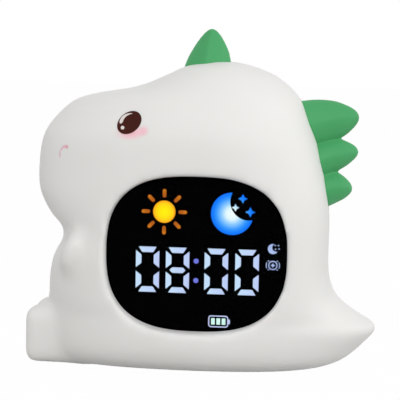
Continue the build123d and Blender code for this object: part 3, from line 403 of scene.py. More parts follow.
@dataclass(frozen=True)
class Rubber:
    """Pressed rubber sheet with a pattern of fine studs, dull and dark.

    Attributes:
        name: the material's name.
        low: hex colour between the studs.
        high: hex colour of the studs.
        pitch: distance between studs in millimetres.
    """

    name: str
    low: str
    high: str
    pitch: float = 1.6

    def make(self) -> bpy.types.Material:
        """Returns the material."""
        material, tree, shader = new_material(self.name, Roughness=0.82, IOR=1.52, Specular_IOR_Level=0.3)
        place = add_node(tree, "ShaderNodeTexCoord")
        studs = add_node(
            tree,
            "ShaderNodeTexVoronoi",
            {"Scale": 1 / (self.pitch * MM), "Randomness": 0.0},
            {"Vector": place.outputs["Object"]},
        )
        vary(tree, shader, studs.outputs["Distance"], self.high, self.low)
        emboss(tree, shader, studs.outputs["Distance"], depth=-0.3, strength=0.6)
        return material


@dataclass(frozen=True)
class CircuitBoard:
    """Glass-fibre board under green solder mask, whose copper tracks show as lighter lines.

    Attributes:
        name: the material's name.
        mask: hex colour between the tracks.
        track: hex colour over the tracks.
        pitch: distance between tracks in millimetres.
        run: length of a track between two crossings, in pitches.
        line: breadth of a track, in pitches.
    """

    name: str
    mask: str
    track: str
    pitch: float = 2.54
    run: float = 4.0
    line: float = 0.16

    def make(self) -> bpy.types.Material:
        """Returns the material."""
        material, tree, shader = new_material(self.name, Roughness=0.32, IOR=1.55, Coat_Weight=0.3)
        place = add_node(tree, "ShaderNodeTexCoord")
        upright = add_node(
            tree,
            "ShaderNodeMapping",
            {"Rotation": (math.radians(90), 0, 0)},
            {"Vector": place.outputs["Object"]},
        )
        tracks = add_node(
            tree,
            "ShaderNodeTexBrick",
            {
                "Scale": 1.0,
                "Brick Width": self.run * self.pitch * MM,
                "Row Height": self.pitch * MM,
                "Mortar Size": self.line * self.pitch * MM,
                "Color1": linear(self.mask),
                "Color2": linear(self.mask),
                "Mortar": linear(self.track),
            },
            {"Vector": upright.outputs["Vector"]},
        )
        tree.links.new(tracks.outputs["Color"], shader.inputs["Base Color"])
        emboss(tree, shader, tracks.outputs["Fac"], depth=0.04, strength=0.4)
        return material


@dataclass(frozen=True)
class Lens:
    """Smoke-tinted acrylic with an anti-reflection coat: nearly black, with hardly any gloss.

    Attributes:
        name: the material's name.
        tint: hex colour of the sheet.
        cover: share of what lies behind that each face hides.
        gloss: level of the mirror-like share.
        haze: roughness where the sheet is wiped clean and where it isn't.
    """

    name: str
    tint: str
    cover: float
    gloss: float = 0.02
    haze: Point = (0.05, 0.11)

    def make(self) -> bpy.types.Material:
        """Returns the material."""
        material, tree, shader = new_material(
            self.name,
            Base_Color=linear(self.tint),
            IOR=1.49,
            Specular_IOR_Level=self.gloss,
            Alpha=self.cover,
        )
        wiped = grain(tree, pitch=14.0)
        clean, dull = self.haze
        haze = add_node(tree, "ShaderNodeMapRange", {"To Min": clean, "To Max": dull}, {"Value": wiped})
        tree.links.new(haze.outputs["Result"], shader.inputs["Roughness"])
        return material


class Spread(Enum):
    """How the colour of a lit shape runs."""

    ROUND = "with the distance from a point"
    ACROSS = "from left to right"
    BOX = "out of a box round a point"


@dataclass(frozen=True)
class Glow:
    """Clear resin over a lamp, under a printed colour film: it shines evenly, whatever light falls on it.

    Attributes:
        name: the material's name.
        stops: distance in millimetres (or in boxes) and hex colour, from low to high.
        spread: how the colour runs.
        centre: x and z of the point that distances start from.
        box: half width and half height of the box, in millimetres, or (1, 1) without one.
        strength: of the light, above 1 for what the lens takes away.
    """

    name: str
    stops: tuple[tuple[float, str], ...]
    spread: Spread = Spread.ROUND
    centre: Point = (0.0, 0.0)
    box: Point = (1.0, 1.0)
    strength: float = 2.78

    def make(self) -> bpy.types.Material:
        """Returns the material."""
        material, tree, shader = new_material(
            self.name, Base_Color=linear("0A0A0A"), Roughness=0.5, Emission_Strength=self.strength
        )
        first, last = self.stops[0][0], self.stops[-1][0]
        reach = add_node(
            tree,
            "ShaderNodeMapRange",
            {"From Min": first, "From Max": last},
            {"Value": self._distance(tree)},
        )
        ramp = add_node(tree, "ShaderNodeValToRGB", links={"Fac": reach.outputs["Result"]})
        fill_ramp(ramp.color_ramp, [((at - first) / (last - first), code) for at, code in self.stops])
        tree.links.new(ramp.outputs["Color"], shader.inputs["Emission Color"])
        return material

    def _distance(self, tree: bpy.types.NodeTree) -> bpy.types.NodeSocket:
        """Adds what the colour runs with.

        Args:
            tree: the material's node tree.

        Returns:
            A value in millimetres, or in boxes.
        """
        offset = offset_from(tree, self.centre, self.box)
        if self.spread is Spread.ROUND:
            length = add_node(tree, "ShaderNodeVectorMath", {"operation": "LENGTH"}, {0: offset})
            return length.outputs["Value"]
        if self.spread is Spread.ACROSS:
            parts = add_node(tree, "ShaderNodeSeparateXYZ", links={0: offset})
            return parts.outputs["X"]
        folded = add_node(tree, "ShaderNodeVectorMath", {"operation": "ABSOLUTE"}, {0: offset})
        parts = add_node(tree, "ShaderNodeSeparateXYZ", links={0: folded.outputs["Vector"]})
        farther = add_node(
            tree,
            "ShaderNodeMath",
            {"operation": "MAXIMUM"},
            {0: parts.outputs["X"], 1: parts.outputs["Z"]},
        )
        return farther.outputs["Value"]


Finish = Silicone | Moulded | Metal | Rubber | CircuitBoard | Lens | Glow

# Cured silicone from a blasted tool: milky white, softly lit from inside, as dull as fine paper.
WHITE_SILICONE = Silicone(
    "white_silicone_rubber",
    colour="EFEEEC",
    deep="ECEBE8",
    scatter=2.2,
    blushes=(
        Blush((-25.6, 105.9), (9.0, 4.3), 6.0, "FFC4CE", 0.95),
        Blush((-20.2, 106.8), (3.6, 3.1), 35.0, "FFB8C6", 0.6),
        Blush((-58.1, 95.2), (0.7, 2.4), 2.0, "E9A3B8", 0.65),
        Blush((-57.4, 97.5), (0.8, 2.0), -30.0, "E9A3B8", 0.6),
        Blush((-56.2, 98.6), (1.7, 1.0), 30.0, "E99DB5", 0.7),
        Blush((-54.8, 98.7), (1.5, 1.3), -45.0, "E892AE", 0.85),
    ),
)
# The same rubber full of green pigment: a dense colour with only a weak glow at the thin tips.
GREEN_SILICONE = Silicone("green_silicone_rubber", colour="4BA969", deep="47A365", scatter=1.2)
# Pad-printed ink, dried hard: dark and even, with a faint sheen over the dull silicone.
EYE_INK = Moulded("brown_printing_ink", "401810", "461C14", roughness=0.45, depth=0.005, gloss=0.08)
# The same ink in white, in a thicker coat: small clean spots of light in the eyes.
GLEAM_INK = Moulded("white_printing_ink", "E2D8D4", "E9E0DC", roughness=0.45, depth=0.005, gloss=0.2)
# Grey screen-printed ink on the panel: flat and matt, so that the signs read from any side.
SIGN_INK = Moulded("grey_printing_ink", "6E7276", "767A7E", roughness=0.5, depth=0.005)
# ABS from a spark-eroded tool: a dry, even white with a broad soft sheen.
WHITE_ABS = Moulded("white_abs_housing", "ECEBE8", "F1F0ED", roughness=0.45)
# ABS keys from a finer tool: green with a small clear highlight on each rounded edge.
GREEN_ABS = Moulded("green_abs_key", "4AA568", "51AE70", roughness=0.36, depth=0.015)
# Black ABS of knobs and switches: a deep black with a faint broad sheen.
BLACK_ABS = Moulded("black_abs", "080808", "0C0C0C", roughness=0.6)
# Light-trapping paint behind the lens: no sheen at all, so that the unlit display stays black.
MASK_PAINT = Moulded("matt_black_mask_paint", "020202", "030303", roughness=0.9, gloss=0.02)
# Dyed cast acrylic: black glass to the eye, with only what shines behind it coming through.
SMOKED_ACRYLIC = Lens("smoked_acrylic", "020203", 0.4)
# Nylon of plugs and switch bodies: waxy off-white, a little yellow.
WHITE_NYLON = Moulded("white_nylon", "E3E2DC", "EAE9E3")
# Epoxy moulded round a chip: grey-black and finely sandy.
BLACK_EPOXY = Moulded("black_epoxy", "161618", "1D1D20", pitch=0.3)
# Polycarbonate with a scattering filler: a matt, even white dome.
FROSTED_DOME = Moulded("frosted_polycarbonate", "F0F0EC", "F6F6F2", roughness=0.6)
# Epoxy over a yellow phosphor: pale yellow and smooth.
LAMP_EPOXY = Moulded("phosphor_epoxy", "EFE3A8", "F4EBC0", roughness=0.25)
# Soft PVC drawn over copper strands: black with a long dull highlight.
BLACK_SLEEVE = Moulded("black_pvc_sleeve", "151515", "1B1B1B", roughness=0.5)
# Polyimide film over flat copper: smooth amber.
AMBER_FILM = Moulded("amber_polyimide", "B8722A", "C47E33", roughness=0.3)
# PVC film shrunk over the cell's can: tight, smooth and glossy blue.
BLUE_WRAP = Moulded("blue_pvc_wrap", "2F5C9E", "3565AA", roughness=0.28, depth=0.01)
# Pressed paper fibre: soft black with no shine.
PAPER_CONE = Moulded("black_paper_cone", "1C1B1A", "262523", roughness=0.85, depth=0.08)
# Glass-fibre epoxy under green mask: glossy green, crossed by the lighter lines of its tracks.
GREEN_BOARD = CircuitBoard("green_circuit_board", "0B4A2C", "1C7A4B")
# Nitrile rubber pressed with small studs: dull dark grey that grips.
GREY_PAD = Rubber("grey_anti_slip_rubber", "3A3A3A", "4A4A4A")
# Steel screws, zinc plated after turning: bluish grey with fine rings.
ZINC_SCREW = Metal("zinc_plated_steel", "9A9DA1", "B6B9BD")
# Drawn steel, tinned, of the socket and the loudspeaker: brighter and smoother than the screws.
TIN_SHELL = Metal("tinned_steel_shell", "A4A7AB", "C0C3C7", roughness=0.25)
# Sintered magnet under nickel: a warm, slightly blurred grey.
NICKEL_MAGNET = Metal("nickel_plated_magnet", "8C8E92", "A5A7AB", roughness=0.35)


# ---------------------------------------------------------------- modelling with operators
def leave_edit() -> None:
    """Goes back to object mode."""
    if bpy.context.object and bpy.context.object.mode != "OBJECT":
        bpy.ops.object.mode_set(mode="OBJECT")


def deselect() -> None:
    """Leaves edit mode and selects nothing."""
    leave_edit()
    bpy.ops.object.select_all(action="DESELECT")


def pick(*pieces: bpy.types.Object) -> None:
    """Selects only these pieces and makes the first one active."""
    deselect()
    for piece in pieces:
        piece.select_set(True)
    bpy.context.view_layer.objects.active = pieces[0]


def open_mesh(piece: bpy.types.Object) -> bmesh.types.BMesh:
    """Opens a piece in edit mode with everything selected, and returns its mesh."""
    pick(piece)
    bpy.ops.object.mode_set(mode="EDIT")
    bpy.ops.mesh.select_all(action="SELECT")
    return bmesh.from_edit_mesh(piece.data)


def settle(piece: bpy.types.Object) -> None:
    """Moves a piece's place, turn and scale into its mesh."""
    pick(piece)
    bpy.ops.object.transform_apply(location=True, rotation=True, scale=True)


def apply_modifier(piece: bpy.types.Object, kind: str, **settings: object) -> None:
    """Adds a modifier to a piece and applies it.

    Args:
        piece: the piece.
        kind: Blender's name of the modifier type.
        settings: the modifier's properties.
    """
    pick(piece)
    modifier = piece.modifiers.new(kind.title(), kind)
    for name, value in settings.items():
        setattr(modifier, name, value)
    bpy.ops.object.modifier_apply(modifier=modifier.name)


def remesh(piece: bpy.types.Object, size: float) -> None:
    """Skins a piece anew with even faces.

    Args:
        piece: a closed piece.
        size: side of a face in millimetres.
    """
    apply_modifier(piece, "REMESH", mode="VOXEL", voxel_size=size, use_smooth_shade=True)


def smooth(piece: bpy.types.Object, rounds: int, group: str = "") -> None:
    """Evens out a piece's surface.

    Args:
        piece: the piece.
        rounds: how many times.
        group: the vertex group to which it is limited, or none.
    """
    apply_modifier(piece, "SMOOTH", factor=0.5, iterations=rounds, vertex_group=group)


def cut(piece: bpy.types.Object, tool: bpy.types.Object) -> None:
    """Takes a tool out of a piece, and removes the tool.

    Args:
        piece: a closed piece.
        tool: a closed solid.
    """
    apply_modifier(piece, "BOOLEAN", object=tool, operation="DIFFERENCE", solver="MANIFOLD")
    bpy.data.objects.remove(tool)


def join(pieces: Sequence[bpy.types.Object], name: str) -> bpy.types.Object:
    """Makes several pieces one.

    Args:
        pieces: the pieces.
        name: the name of the whole.

    Returns:
        The whole.
    """
    pick(*pieces)
    if len(pieces) > 1:
        bpy.ops.object.join()
    pieces[0].name = name
    return pieces[0]


def place_ring(piece: bpy.types.Object, ring: Sequence[Place]) -> None:
    """Puts the selected ring of points where they belong.

    Args:
        piece: a piece in edit mode, whose points know their number in a ring.
        ring: the places, in the ring's order.
    """
    mesh = bmesh.from_edit_mesh(piece.data)
    number = mesh.verts.layers.int["number"]
    for point in mesh.verts:
        if point.select:
            point.co = ring[point[number]]
    bmesh.update_edit_mesh(piece.data)


def from_rings(name: str, rings: Sequence[Sequence[Place]]) -> bpy.types.Object:
    """Builds a piece by extruding a filled ring from station to station.

    Args:
        name: the piece's name.
        rings: rings with equally many points, in millimetres. One ring gives a flat face.

    Returns:
        The piece, closed if there is more than one ring.
    """
    deselect()
    bpy.ops.mesh.primitive_circle_add(vertices=len(rings[0]), radius=1.0, fill_type="NGON")
    piece = bpy.context.object
    piece.name = name
    mesh = open_mesh(piece)
    number = mesh.verts.layers.int.new("number")
    for count, point in enumerate(mesh.verts):
        point[number] = count
    place_ring(piece, rings[0])
    for ring in rings[1:]:
        bpy.ops.mesh.extrude_region_move(TRANSFORM_OT_translate={"value": (0, 0, 1)})
        place_ring(piece, ring)
    if len(rings) > 1:
        bpy.ops.mesh.select_all(action="SELECT")
        bpy.ops.mesh.normals_make_consistent(inside=False)
    leave_edit()
    return piece


def turned(point: Point, degrees: float) -> Point:
    """Turns a point about the origin, counter-clockwise, and returns it."""
    c, s = math.cos(math.radians(degrees)), math.sin(math.radians(degrees))
    return point[0] * c - point[1] * s, point[0] * s + point[1] * c


def oval(half_a: float, half_b: float, power: float, count: int, turn: float = 0.0) -> list[Point]:
    """Points of a superellipse.

    Args:
        half_a: half its first size.
        half_b: half its second size.
        power: 2 for an ellipse, more for a squarer one.
        count: how many points.
        turn: angle of the first size from level, in degrees.

    Returns:
        The points, counter-clockwise.
    """
    points = []
    for step in range(count):
        angle = 2 * math.pi * step / count
        a = half_a * math.copysign(abs(math.cos(angle)) ** (2 / power), math.cos(angle))
        b = half_b * math.copysign(abs(math.sin(angle)) ** (2 / power), math.sin(angle))
        points.append(turned((a, b), turn))
    return points


def between(rows: Sequence[Sequence[float]], steps: int) -> list[tuple[float, ...]]:
    """Fills the steps between rows of numbers with a smooth curve through them.

    Args:
        rows: the rows, in order.
        steps: steps from one row to the next.

    Returns:
        The rows with the new ones between them.
    """
    filled = []
    for i in range(len(rows) - 1):
        before, start, end, after = (rows[min(max(i + k, 0), len(rows) - 1)] for k in (-1, 0, 1, 2))
        for step in range(steps):
            t = step / steps
            row = []
            for a, b, c, d in zip(before, start, end, after):
                bend, twist = 2 * a - 5 * b + 4 * c - d, 3 * b - a - 3 * c + d
                row.append(b + 0.5 * ((c - a) * t + bend * t**2 + twist * t**3))
            filled.append(tuple(row))
    filled.append(tuple(rows[-1]))
    return filled


def fading(distance: float, full: float, last: float) -> float:
    """Gives a share that fades with a distance.

    Args:
        distance: the distance.
        full: up to here the share is 1.
        last: from here on it is 0.

    Returns:
        The share.
    """
    return min(max((last - distance) / (last - full), 0.0), 1.0)


def weigh(piece: bpy.types.Object, name: str, share: Callable[[Vector], float]) -> None:
    """Gives a piece a vertex group.

    Args:
        piece: the piece.
        name: the group's name.
        share: gives the weight at a place.
    """
    group = piece.vertex_groups.new(name=name)
    for point in piece.data.vertices:
        weight = share(point.co)
        if weight > 0:
            group.add([point.index], weight, "REPLACE")


def material_of(finish: Finish) -> bpy.types.Material:
    """Makes a finish's material the first time, and returns it."""
    return bpy.data.materials.get(finish.name) or finish.make()


def finish_piece(
    piece: bpy.types.Object,
    finish: Finish,
    body: str = "clock",
    replaced: Iterable[str] = (),
    crease: float = 35.0,
) -> bpy.types.Object:
    """Brings a modelled piece into the frame, in metres.

    Args:
        piece: the piece, in millimetres.
        finish: its finish.
        body: the body that it rides on.
        replaced: the nodes that it stands for.
        crease: edges sharper than this stay sharp, in degrees.

    Returns:
        The piece.
    """
    piece.scale = (MM, MM, MM)
    settle(piece)
    bpy.ops.object.shade_smooth_by_angle(angle=math.radians(crease))
    piece.vertex_groups.clear()
    piece.data.materials.clear()
    piece.data.materials.append(material_of(finish))
    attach(piece, body)
    if replaced:
        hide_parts(*replaced)
    LOG.info("%s: %d faces of %s", piece.name, len(piece.data.polygons), finish.name)
    return piece


def dress(frame: dict, finish: Finish, *names: str) -> None:
    """Gives nodes of the frame a finish.

    Args:
        frame: the loaded frame.
        finish: the finish.
        names: the nodes.
    """
    for name in names:
        for slot in frame["nodes"][name].material_slots:
            slot.material = material_of(finish)
        LOG.info("%s: %s", name, finish.name)


# ---------------------------------------------------------------- silicone
class Side(Enum):
    """A flank of the clock, by the sign of its depth."""

    DISPLAY = -1
    KEYS = 1


@dataclass(frozen=True)
class Spike:
    """A rounded spike on a line between two points, leaning to its tip; points are (x, z).

    Attributes:
        base: the two ends of its foot.
        tip: its tip.
        depth: its size across the clock, at the foot.
        profile: breadth at shares of its reach.
        power: of its cross section, under 2 for one with a soft ridge.
        bow: how far the middle of its centre line lies off the straight, towards its upper edge.
    """

    base: tuple[Point, Point]
    tip: Point
    depth: float
    profile: tuple[Point, ...]
    power: float
    bow: float = 0.0

    def build(self, name: str, root: float = 5.0, around: int = 48) -> bpy.types.Object:
        """Builds the spike.

        Args:
            name: the piece's name.
            root: how far it goes on into the skin.
            around: points round it.

        Returns:
            The closed piece, in millimetres.
        """
        start, end, point = (Vector((x, 0, z)) for x, z in (*self.base, self.tip))
        middle = (start + end) / 2
        along = (end - start).normalized()
        out = Vector((-along.z, 0, along.x))
        if (point - middle).dot(out) < 0:
            out.negate()
        reach, lean = (point - middle).dot(out), (point - middle).dot(along)
        half = (end - start).length / 2
        rings = []
        for share, breadth in [(-root / reach, 1.0), *between(self.profile, 4)]:
            risen = max(share, 0.0)
            shift = risen * lean - self.bow * math.sin(math.pi * risen)
            centre = middle + out * share * reach + along * shift
            section = oval(half * breadth, self.depth / 2 * breadth, self.power, around)
            rings.append([centre + along * a + Vector((0, b, 0)) for a, b in section])
        return from_rings(name, rings)


SLIM = ((0.0, 1.0), (0.3, 0.86), (0.5, 0.71), (0.7, 0.53), (0.88, 0.32), (0.97, 0.16), (1.0, 0.05))
FULL = ((0.0, 1.0), (0.3, 0.92), (0.6, 0.75), (0.78, 0.55), (0.9, 0.37), (0.97, 0.21), (1.0, 0.06))


@dataclass
class GreenSpikes:
    """The spike on the head and the strip of three lobes down the back.

    Attributes:
        head: the spike on the head.
        back: the lobes, from the top down.
        groove: breadth of the fine line where the two colours of silicone meet.
        head_face: side of one face of the head spike.
        back_face: side of one face of the lobes.
    """

    head: Spike = Spike(((-8.2, 132.4), (13.2, 135.2)), (4.0, 150.4), 15.0, SLIM, 1.35)
    back: tuple[Spike, ...] = (
        Spike(((45.0, 119.7), (51.6, 99.0)), (69.8, 113.7), 15.0, FULL, 1.6, 0.2),
        Spike(((50.7, 101.6), (54.9, 85.2)), (69.9, 98.2), 14.5, FULL, 1.6, 0.9),
        Spike(((54.3, 88.6), (56.8, 72.8)), (67.7, 81.8), 14.0, FULL, 1.6, 0.9),
    )
    groove: float = 0.16
    head_face: float = 0.45
    back_face: float = 0.5

    def build(self) -> list[bpy.types.Object]:
        """Returns the head spike and the back strip, closed and in millimetres."""
        head = self.head.build("crown_spike")
        remesh(head, self.head_face)
        smooth(head, 4)
        lobes = [spike.build(f"lobe_{count}") for count, spike in enumerate(self.back)]
        strip = join(lobes, "spine_lobes")
        remesh(strip, self.back_face)
        smooth(strip, 4)
        return [head, strip]

    def dress(self, pieces: Sequence[bpy.types.Object]) -> None:
        """Dresses the head spike and the back strip."""
        for piece, node in zip(pieces, ("head_spike", "back_spikes")):
            finish_piece(piece, GREEN_SILICONE, replaced=(node,), crease=70.0)

    def sockets(self, pieces: Sequence[bpy.types.Object]) -> list[bpy.types.Object]:
        """Makes the tools that cut the spikes' seats into the skin.

        Args:
            pieces: the spikes.

        Returns:
            A slightly swollen copy of each.
        """
        tools = []
        for piece in pieces:
            pick(piece)
            bpy.ops.object.duplicate()
            tool = bpy.context.object
            apply_modifier(tool, "DISPLACE", strength=self.groove, mid_level=0.0)
            tools.append(tool)
        return tools


@dataclass
class SiliconeSkin:
    """The hollow white body, lofted up the side outline, with feet, arms and two soft window rims.

    Attributes:
        sections: height, left, right, half depth, middle, power of the left half and of the right half.
        wall: thickness of the skin.
        floor: where the skin starts above the table.
        crown: top of the head.
        tail_core: the tail is solid from here on.
        window_at: axis of both windows.
        window_half: half width and height of the display window.
        window_depth: depth at which its cut ends, inside the body.
        panel_half: half width and height of the rear window.
        panel_depth: depth at which its cut starts.
        drum_half: half width and height of the drum behind them.
        window_power: squareness of the windows.
        lens_front: depth of the lens.
        panel_face: depth of the rear panel.
        rim_grip: how far the thick rims reach over the drum.
        plate_half: half sizes of the opening for the base plate.
        plate_power: squareness of that opening.
        flange: breadth and thickness of the plate's flange, which lies on the skin's floor.
        foot_size: length, width and height of a foot.
        foot_front: where the toes are.
        foot_offset: distance of a foot from the middle.
        foot_round: rounding of a foot.
        foot_join: where the feet grow out of the belly.
        foot_margin: how far that seam is softened above and beside a foot.
        foot_seam: from there, where softening is full and where it ends, towards the toes and the body.
        arm_at: x, depth and z of an arm's middle.
        arm_radii: half sizes of an arm.
        arm_lean: of an arm in the side view, in degrees.
        arm_tilt: by which its lower end sinks into the flank, in degrees.
        arm_seam: the seam, and from there the full and the last distance of softening, in arm sizes.
        rim_from: least depth of the windows' rims.
        rim_seam: from a window's edge, where softening is full and where it ends.
        face: side of one face of the outer surface.
        coarse: how much larger the faces are before the windows are cut.
    """

    sections: tuple[tuple[float, ...], ...] = (
        (0.5, -58.0, 49.0, 18.0, -3.0, 2.2, 2.2),
        (2.5, -63.6, 58.5, 26.0, -3.0, 2.2, 2.1),
        (6.0, -66.0, 66.5, 34.4, -3.0, 2.2, 2.0),
        (12.0, -66.9, 73.6, 38.2, -3.0, 2.2, 1.9),
        (20.2, -66.9, 80.0, 39.0, -3.0, 2.2, 1.9),
        (25.5, -66.9, 71.9, 39.0, -3.0, 2.2, 2.1),
        (32.0, -66.8, 62.5, 39.0, -3.0, 2.4, 2.7),
        (41.0, -66.2, 58.6, 39.0, -3.0, 2.6, 3.1),
        (50.0, -64.0, 57.9, 39.0, -3.0, 2.8, 3.2),
        (57.5, -59.9, 58.0, 39.0, -3.0, 2.8, 3.2),
        (63.5, -61.3, 58.0, 39.0, -3.0, 2.7, 3.2),
        (68.0, -65.8, 57.9, 39.0, -3.0, 2.6, 3.2),
        (78.0, -71.1, 57.0, 39.0, -3.0, 2.5, 3.1),
        (90.0, -71.8, 54.6, 39.0, -3.0, 2.4, 2.9),
        (102.0, -70.0, 51.6, 38.7, -3.0, 2.4, 2.7),
        (110.0, -65.2, 48.8, 36.84, -2.0, 2.3, 2.5),
        (117.5, -57.2, 45.7, 33.37, 0.0, 2.2, 2.4),
        (121.0, -47.5, 43.4, 31.02, 2.0, 2.2, 2.4),
        (124.5, -28.5, 40.4, 28.06, 4.0, 2.2, 2.3),
        (130.0, -15.0, 33.5, 21.56, 7.0, 2.1, 2.2),
        (134.0, -6.5, 24.0, 13.9, 9.0, 2.0, 2.0),
        (136.0, 3.0, 15.5, 5.5, 9.3, 2.0, 2.0),
    )
    wall: float = 3.0
    floor: float = 0.5
    crown: float = 136.0
    tail_core: float = 54.0
    window_at: Point = WINDOW_AT
    window_half: Point = (38.85, 33.6)
    window_depth: float = -20.0
    panel_half: Point = (34.0, 28.0)
    panel_depth: float = 22.0
    drum_half: Point = (41.55, 36.3)
    window_power: float = 2.68
    lens_front: float = -31.5
    panel_face: float = PANEL_FACE
    rim_grip: float = 4.0
    plate_half: Point = (40.0, 15.5)
    plate_power: float = 2.6
    flange: Point = (2.5, 2.0)
    foot_size: Place = (34.0, 18.0, 25.8)
    foot_front: float = -75.6
    foot_offset: float = 10.0
    foot_round: float = 5.5
    foot_join: float = -65.0
    foot_margin: Point = (6.0, 8.0)
    foot_seam: tuple[Point, Point] = ((3.6, 8.1), (6.4, 14.4))
    arm_at: Place = (-51.8, 29.6, 53.2)
    arm_radii: Place = (5.4, 4.9, 10.8)
    arm_lean: float = 24.0
    arm_tilt: float = 6.0
    arm_seam: Place = (1.05, 0.2, 0.6)
    rim_from: float = 26.0
    rim_seam: Point = (3.5, 7.0)
    face: float = 1.1
    coarse: float = 1.2

    def build(self, sockets: Sequence[bpy.types.Object]) -> bpy.types.Object:
        """Builds the skin.

        Args:
            sockets: tools that cut the seats of the spikes.

        Returns:
            The closed piece, in millimetres.
        """
        trunk = from_rings("body_skin", self._rings(self.sections))
        limbs = [self._foot(side) for side in Side] + [self._arm(side) for side in Side]
        skin = join([trunk, *limbs], "body_skin")
        remesh(skin, self.coarse * self.face)
        weigh(skin, "joins", self._near_join)
        smooth(skin, 60, "joins")
        smooth(skin, 2)
        cut(skin, self._block(self.window_half, -OUTSIDE, self.window_depth))
        cut(skin, self._block(self.panel_half, self.panel_depth, OUTSIDE))
        remesh(skin, self.face)
        weigh(skin, "rims", self._near_rim)
        smooth(skin, 30, "rims")
        smooth(skin, 3)
        for tool in (*self._hollow(), *sockets):
            cut(skin, tool)
        return skin

    def dress(self, skin: bpy.types.Object) -> None:
        """Dresses the skin."""
        finish_piece(skin, WHITE_SILICONE, replaced=("silicone_skin",), crease=60.0)

    def _rings(self, sections: Sequence[Sequence[float]], around: int = 96) -> list[list[Place]]:
        """Turns level sections into rings.

        Args:
            sections: rows of numbers, as in the field.
            around: points in a ring.

        Returns:
            The rings, with more of them between the sections.
        """
        rings = []
        for height, left, right, half_depth, middle, left_power, right_power in between(sections, 4):
            fore = oval(right - middle, half_depth, right_power, around)
            aft = oval(middle - left, half_depth, left_power, around)
            points = [f if f[0] >= 0 else a for f, a in zip(fore, aft)]
            rings.append([(middle + x, y, height) for x, y in points])
        return rings

    def _block(self, half: Point, front: float, back: float, grow: float = 0.0) -> bpy.types.Object:
        """Builds a solid with a window's outline between two depths.

        Args:
            half: half sizes of the outline.
            front: where it starts.
            back: where it ends.
            grow: margin round the outline.

        Returns:
            The solid.
        """
        (x, z), around = self.window_at, 128
        outline = oval(half[0] + grow, half[1] + grow, self.window_power, around)
        return from_rings("block", [[(x + a, y, z + b) for a, b in outline] for y in (front, back)])

    def _hollow(self) -> list[bpy.types.Object]:
        """Returns the solids that empty the skin: its cavity, the drum's seat and the base opening."""
        height = self.crown - self.floor
        squeeze = (height - 2 * self.wall) / height
        inner = [
            (
                self.floor + self.wall + (section[0] - self.floor) * squeeze,
                section[1] + self.wall,
                min(section[2] - self.wall, self.tail_core),
                section[3] - self.wall,
                *section[4:],
            )
            for section in self.sections
        ]
        cavity = from_rings("cavity", self._rings(inner, 72))
        cut(cavity, self._block(self.drum_half, -OUTSIDE, self.lens_front + self.rim_grip, self.wall))
        cut(cavity, self._block(self.drum_half, self.panel_face - self.rim_grip, OUTSIDE, self.wall))
        seat = self._block(self.drum_half, self.lens_front, self.panel_face)
        sill, (breadth, thickness) = self.floor + self.wall, self.flange
        opening = self._plate(0.0, -self.wall, sill + OVERLAP)
        ledge = self._plate(breadth, sill, sill + thickness)
        return [cavity, seat, opening, ledge]

    def _plate(self, grow: float, bottom: float, top: float) -> bpy.types.Object:
        """Builds a solid with the base plate's outline.

        Args:
            grow: margin round the outline.
            bottom: where it starts.
            top: where it ends.

        Returns:
            The solid.
        """
        outline = oval(self.plate_half[0] + grow, self.plate_half[1] + grow, self.plate_power, 96)
        return from_rings("plate", [[(a, b, z) for a, b in outline] for z in (bottom, top)])

    def _foot(self, side: Side) -> bpy.types.Object:
        """Builds one foot as a rounded block.

        Args:
            side: the flank that it is on.

        Returns:
            The solid.
        """
        length, width, height = self.foot_size
        deselect()
        bpy.ops.mesh.primitive_cube_add(
            size=1.0,
            location=(self.foot_front + length / 2, side.value * self.foot_offset, self.floor + height / 2),
        )
        foot = bpy.context.object
        foot.scale = self.foot_size
        settle(foot)
        open_mesh(foot)
        bpy.ops.mesh.bevel(offset=self.foot_round, segments=6, affect="EDGES")
        leave_edit()
        return foot

    def _arm(self, side: Side) -> bpy.types.Object:
        """Builds one arm as a leaning bean, half sunk in the flank.

        Args:
            side: the flank that it is on.

        Returns:
            The solid.
        """
        x, depth, z = self.arm_at
        deselect()
        bpy.ops.mesh.primitive_uv_sphere_add(segments=32, ring_count=20, location=(x, side.value * depth, z))
        arm = bpy.context.object
        arm.scale = self.arm_radii
        tilt = -side.value * self.arm_tilt
        arm.rotation_euler = (math.radians(tilt), math.radians(self.arm_lean), 0)
        settle(arm)
        return arm

    def _near_join(self, place: Vector) -> float:
        """Tells how much a place belongs to the seam of a foot or an arm.

        Args:
            place: a place on the skin.

        Returns:
            A share from 0 to 1.
        """
        _, width, height = self.foot_size
        above, beside = self.foot_margin
        share = 0.0
        if place.z < self.floor + height + above and abs(place.y) < self.foot_offset + width / 2 + beside:
            ahead = self.foot_join - place.x
            toes, body = self.foot_seam
            share = fading(abs(ahead), *(toes if ahead > 0 else body))
        x, _, z = self.arm_at
        a, b = turned((place.x - x, place.z - z), self.arm_lean)
        seam, full, last = self.arm_seam
        ratio = math.hypot(a / self.arm_radii[0], b / self.arm_radii[2])
        return max(share, fading(abs(ratio - seam), full, last))

    def _near_rim(self, place: Vector) -> float:
        """Tells how much a place belongs to a window's rim.

        Args:
            place: a place on the skin.

        Returns:
            A share from 0 to 1.
        """
        if abs(place.y) < self.rim_from:
            return 0.0
        half = self.window_half if place.y < 0 else self.panel_half
        a = abs(place.x - self.window_at[0]) / half[0]
        b = abs(place.z - self.window_at[1]) / half[1]
        ratio = (a**self.window_power + b**self.window_power) ** (1 / self.window_power)
        return fading(abs(ratio - 1) * min(half), *self.rim_seam)


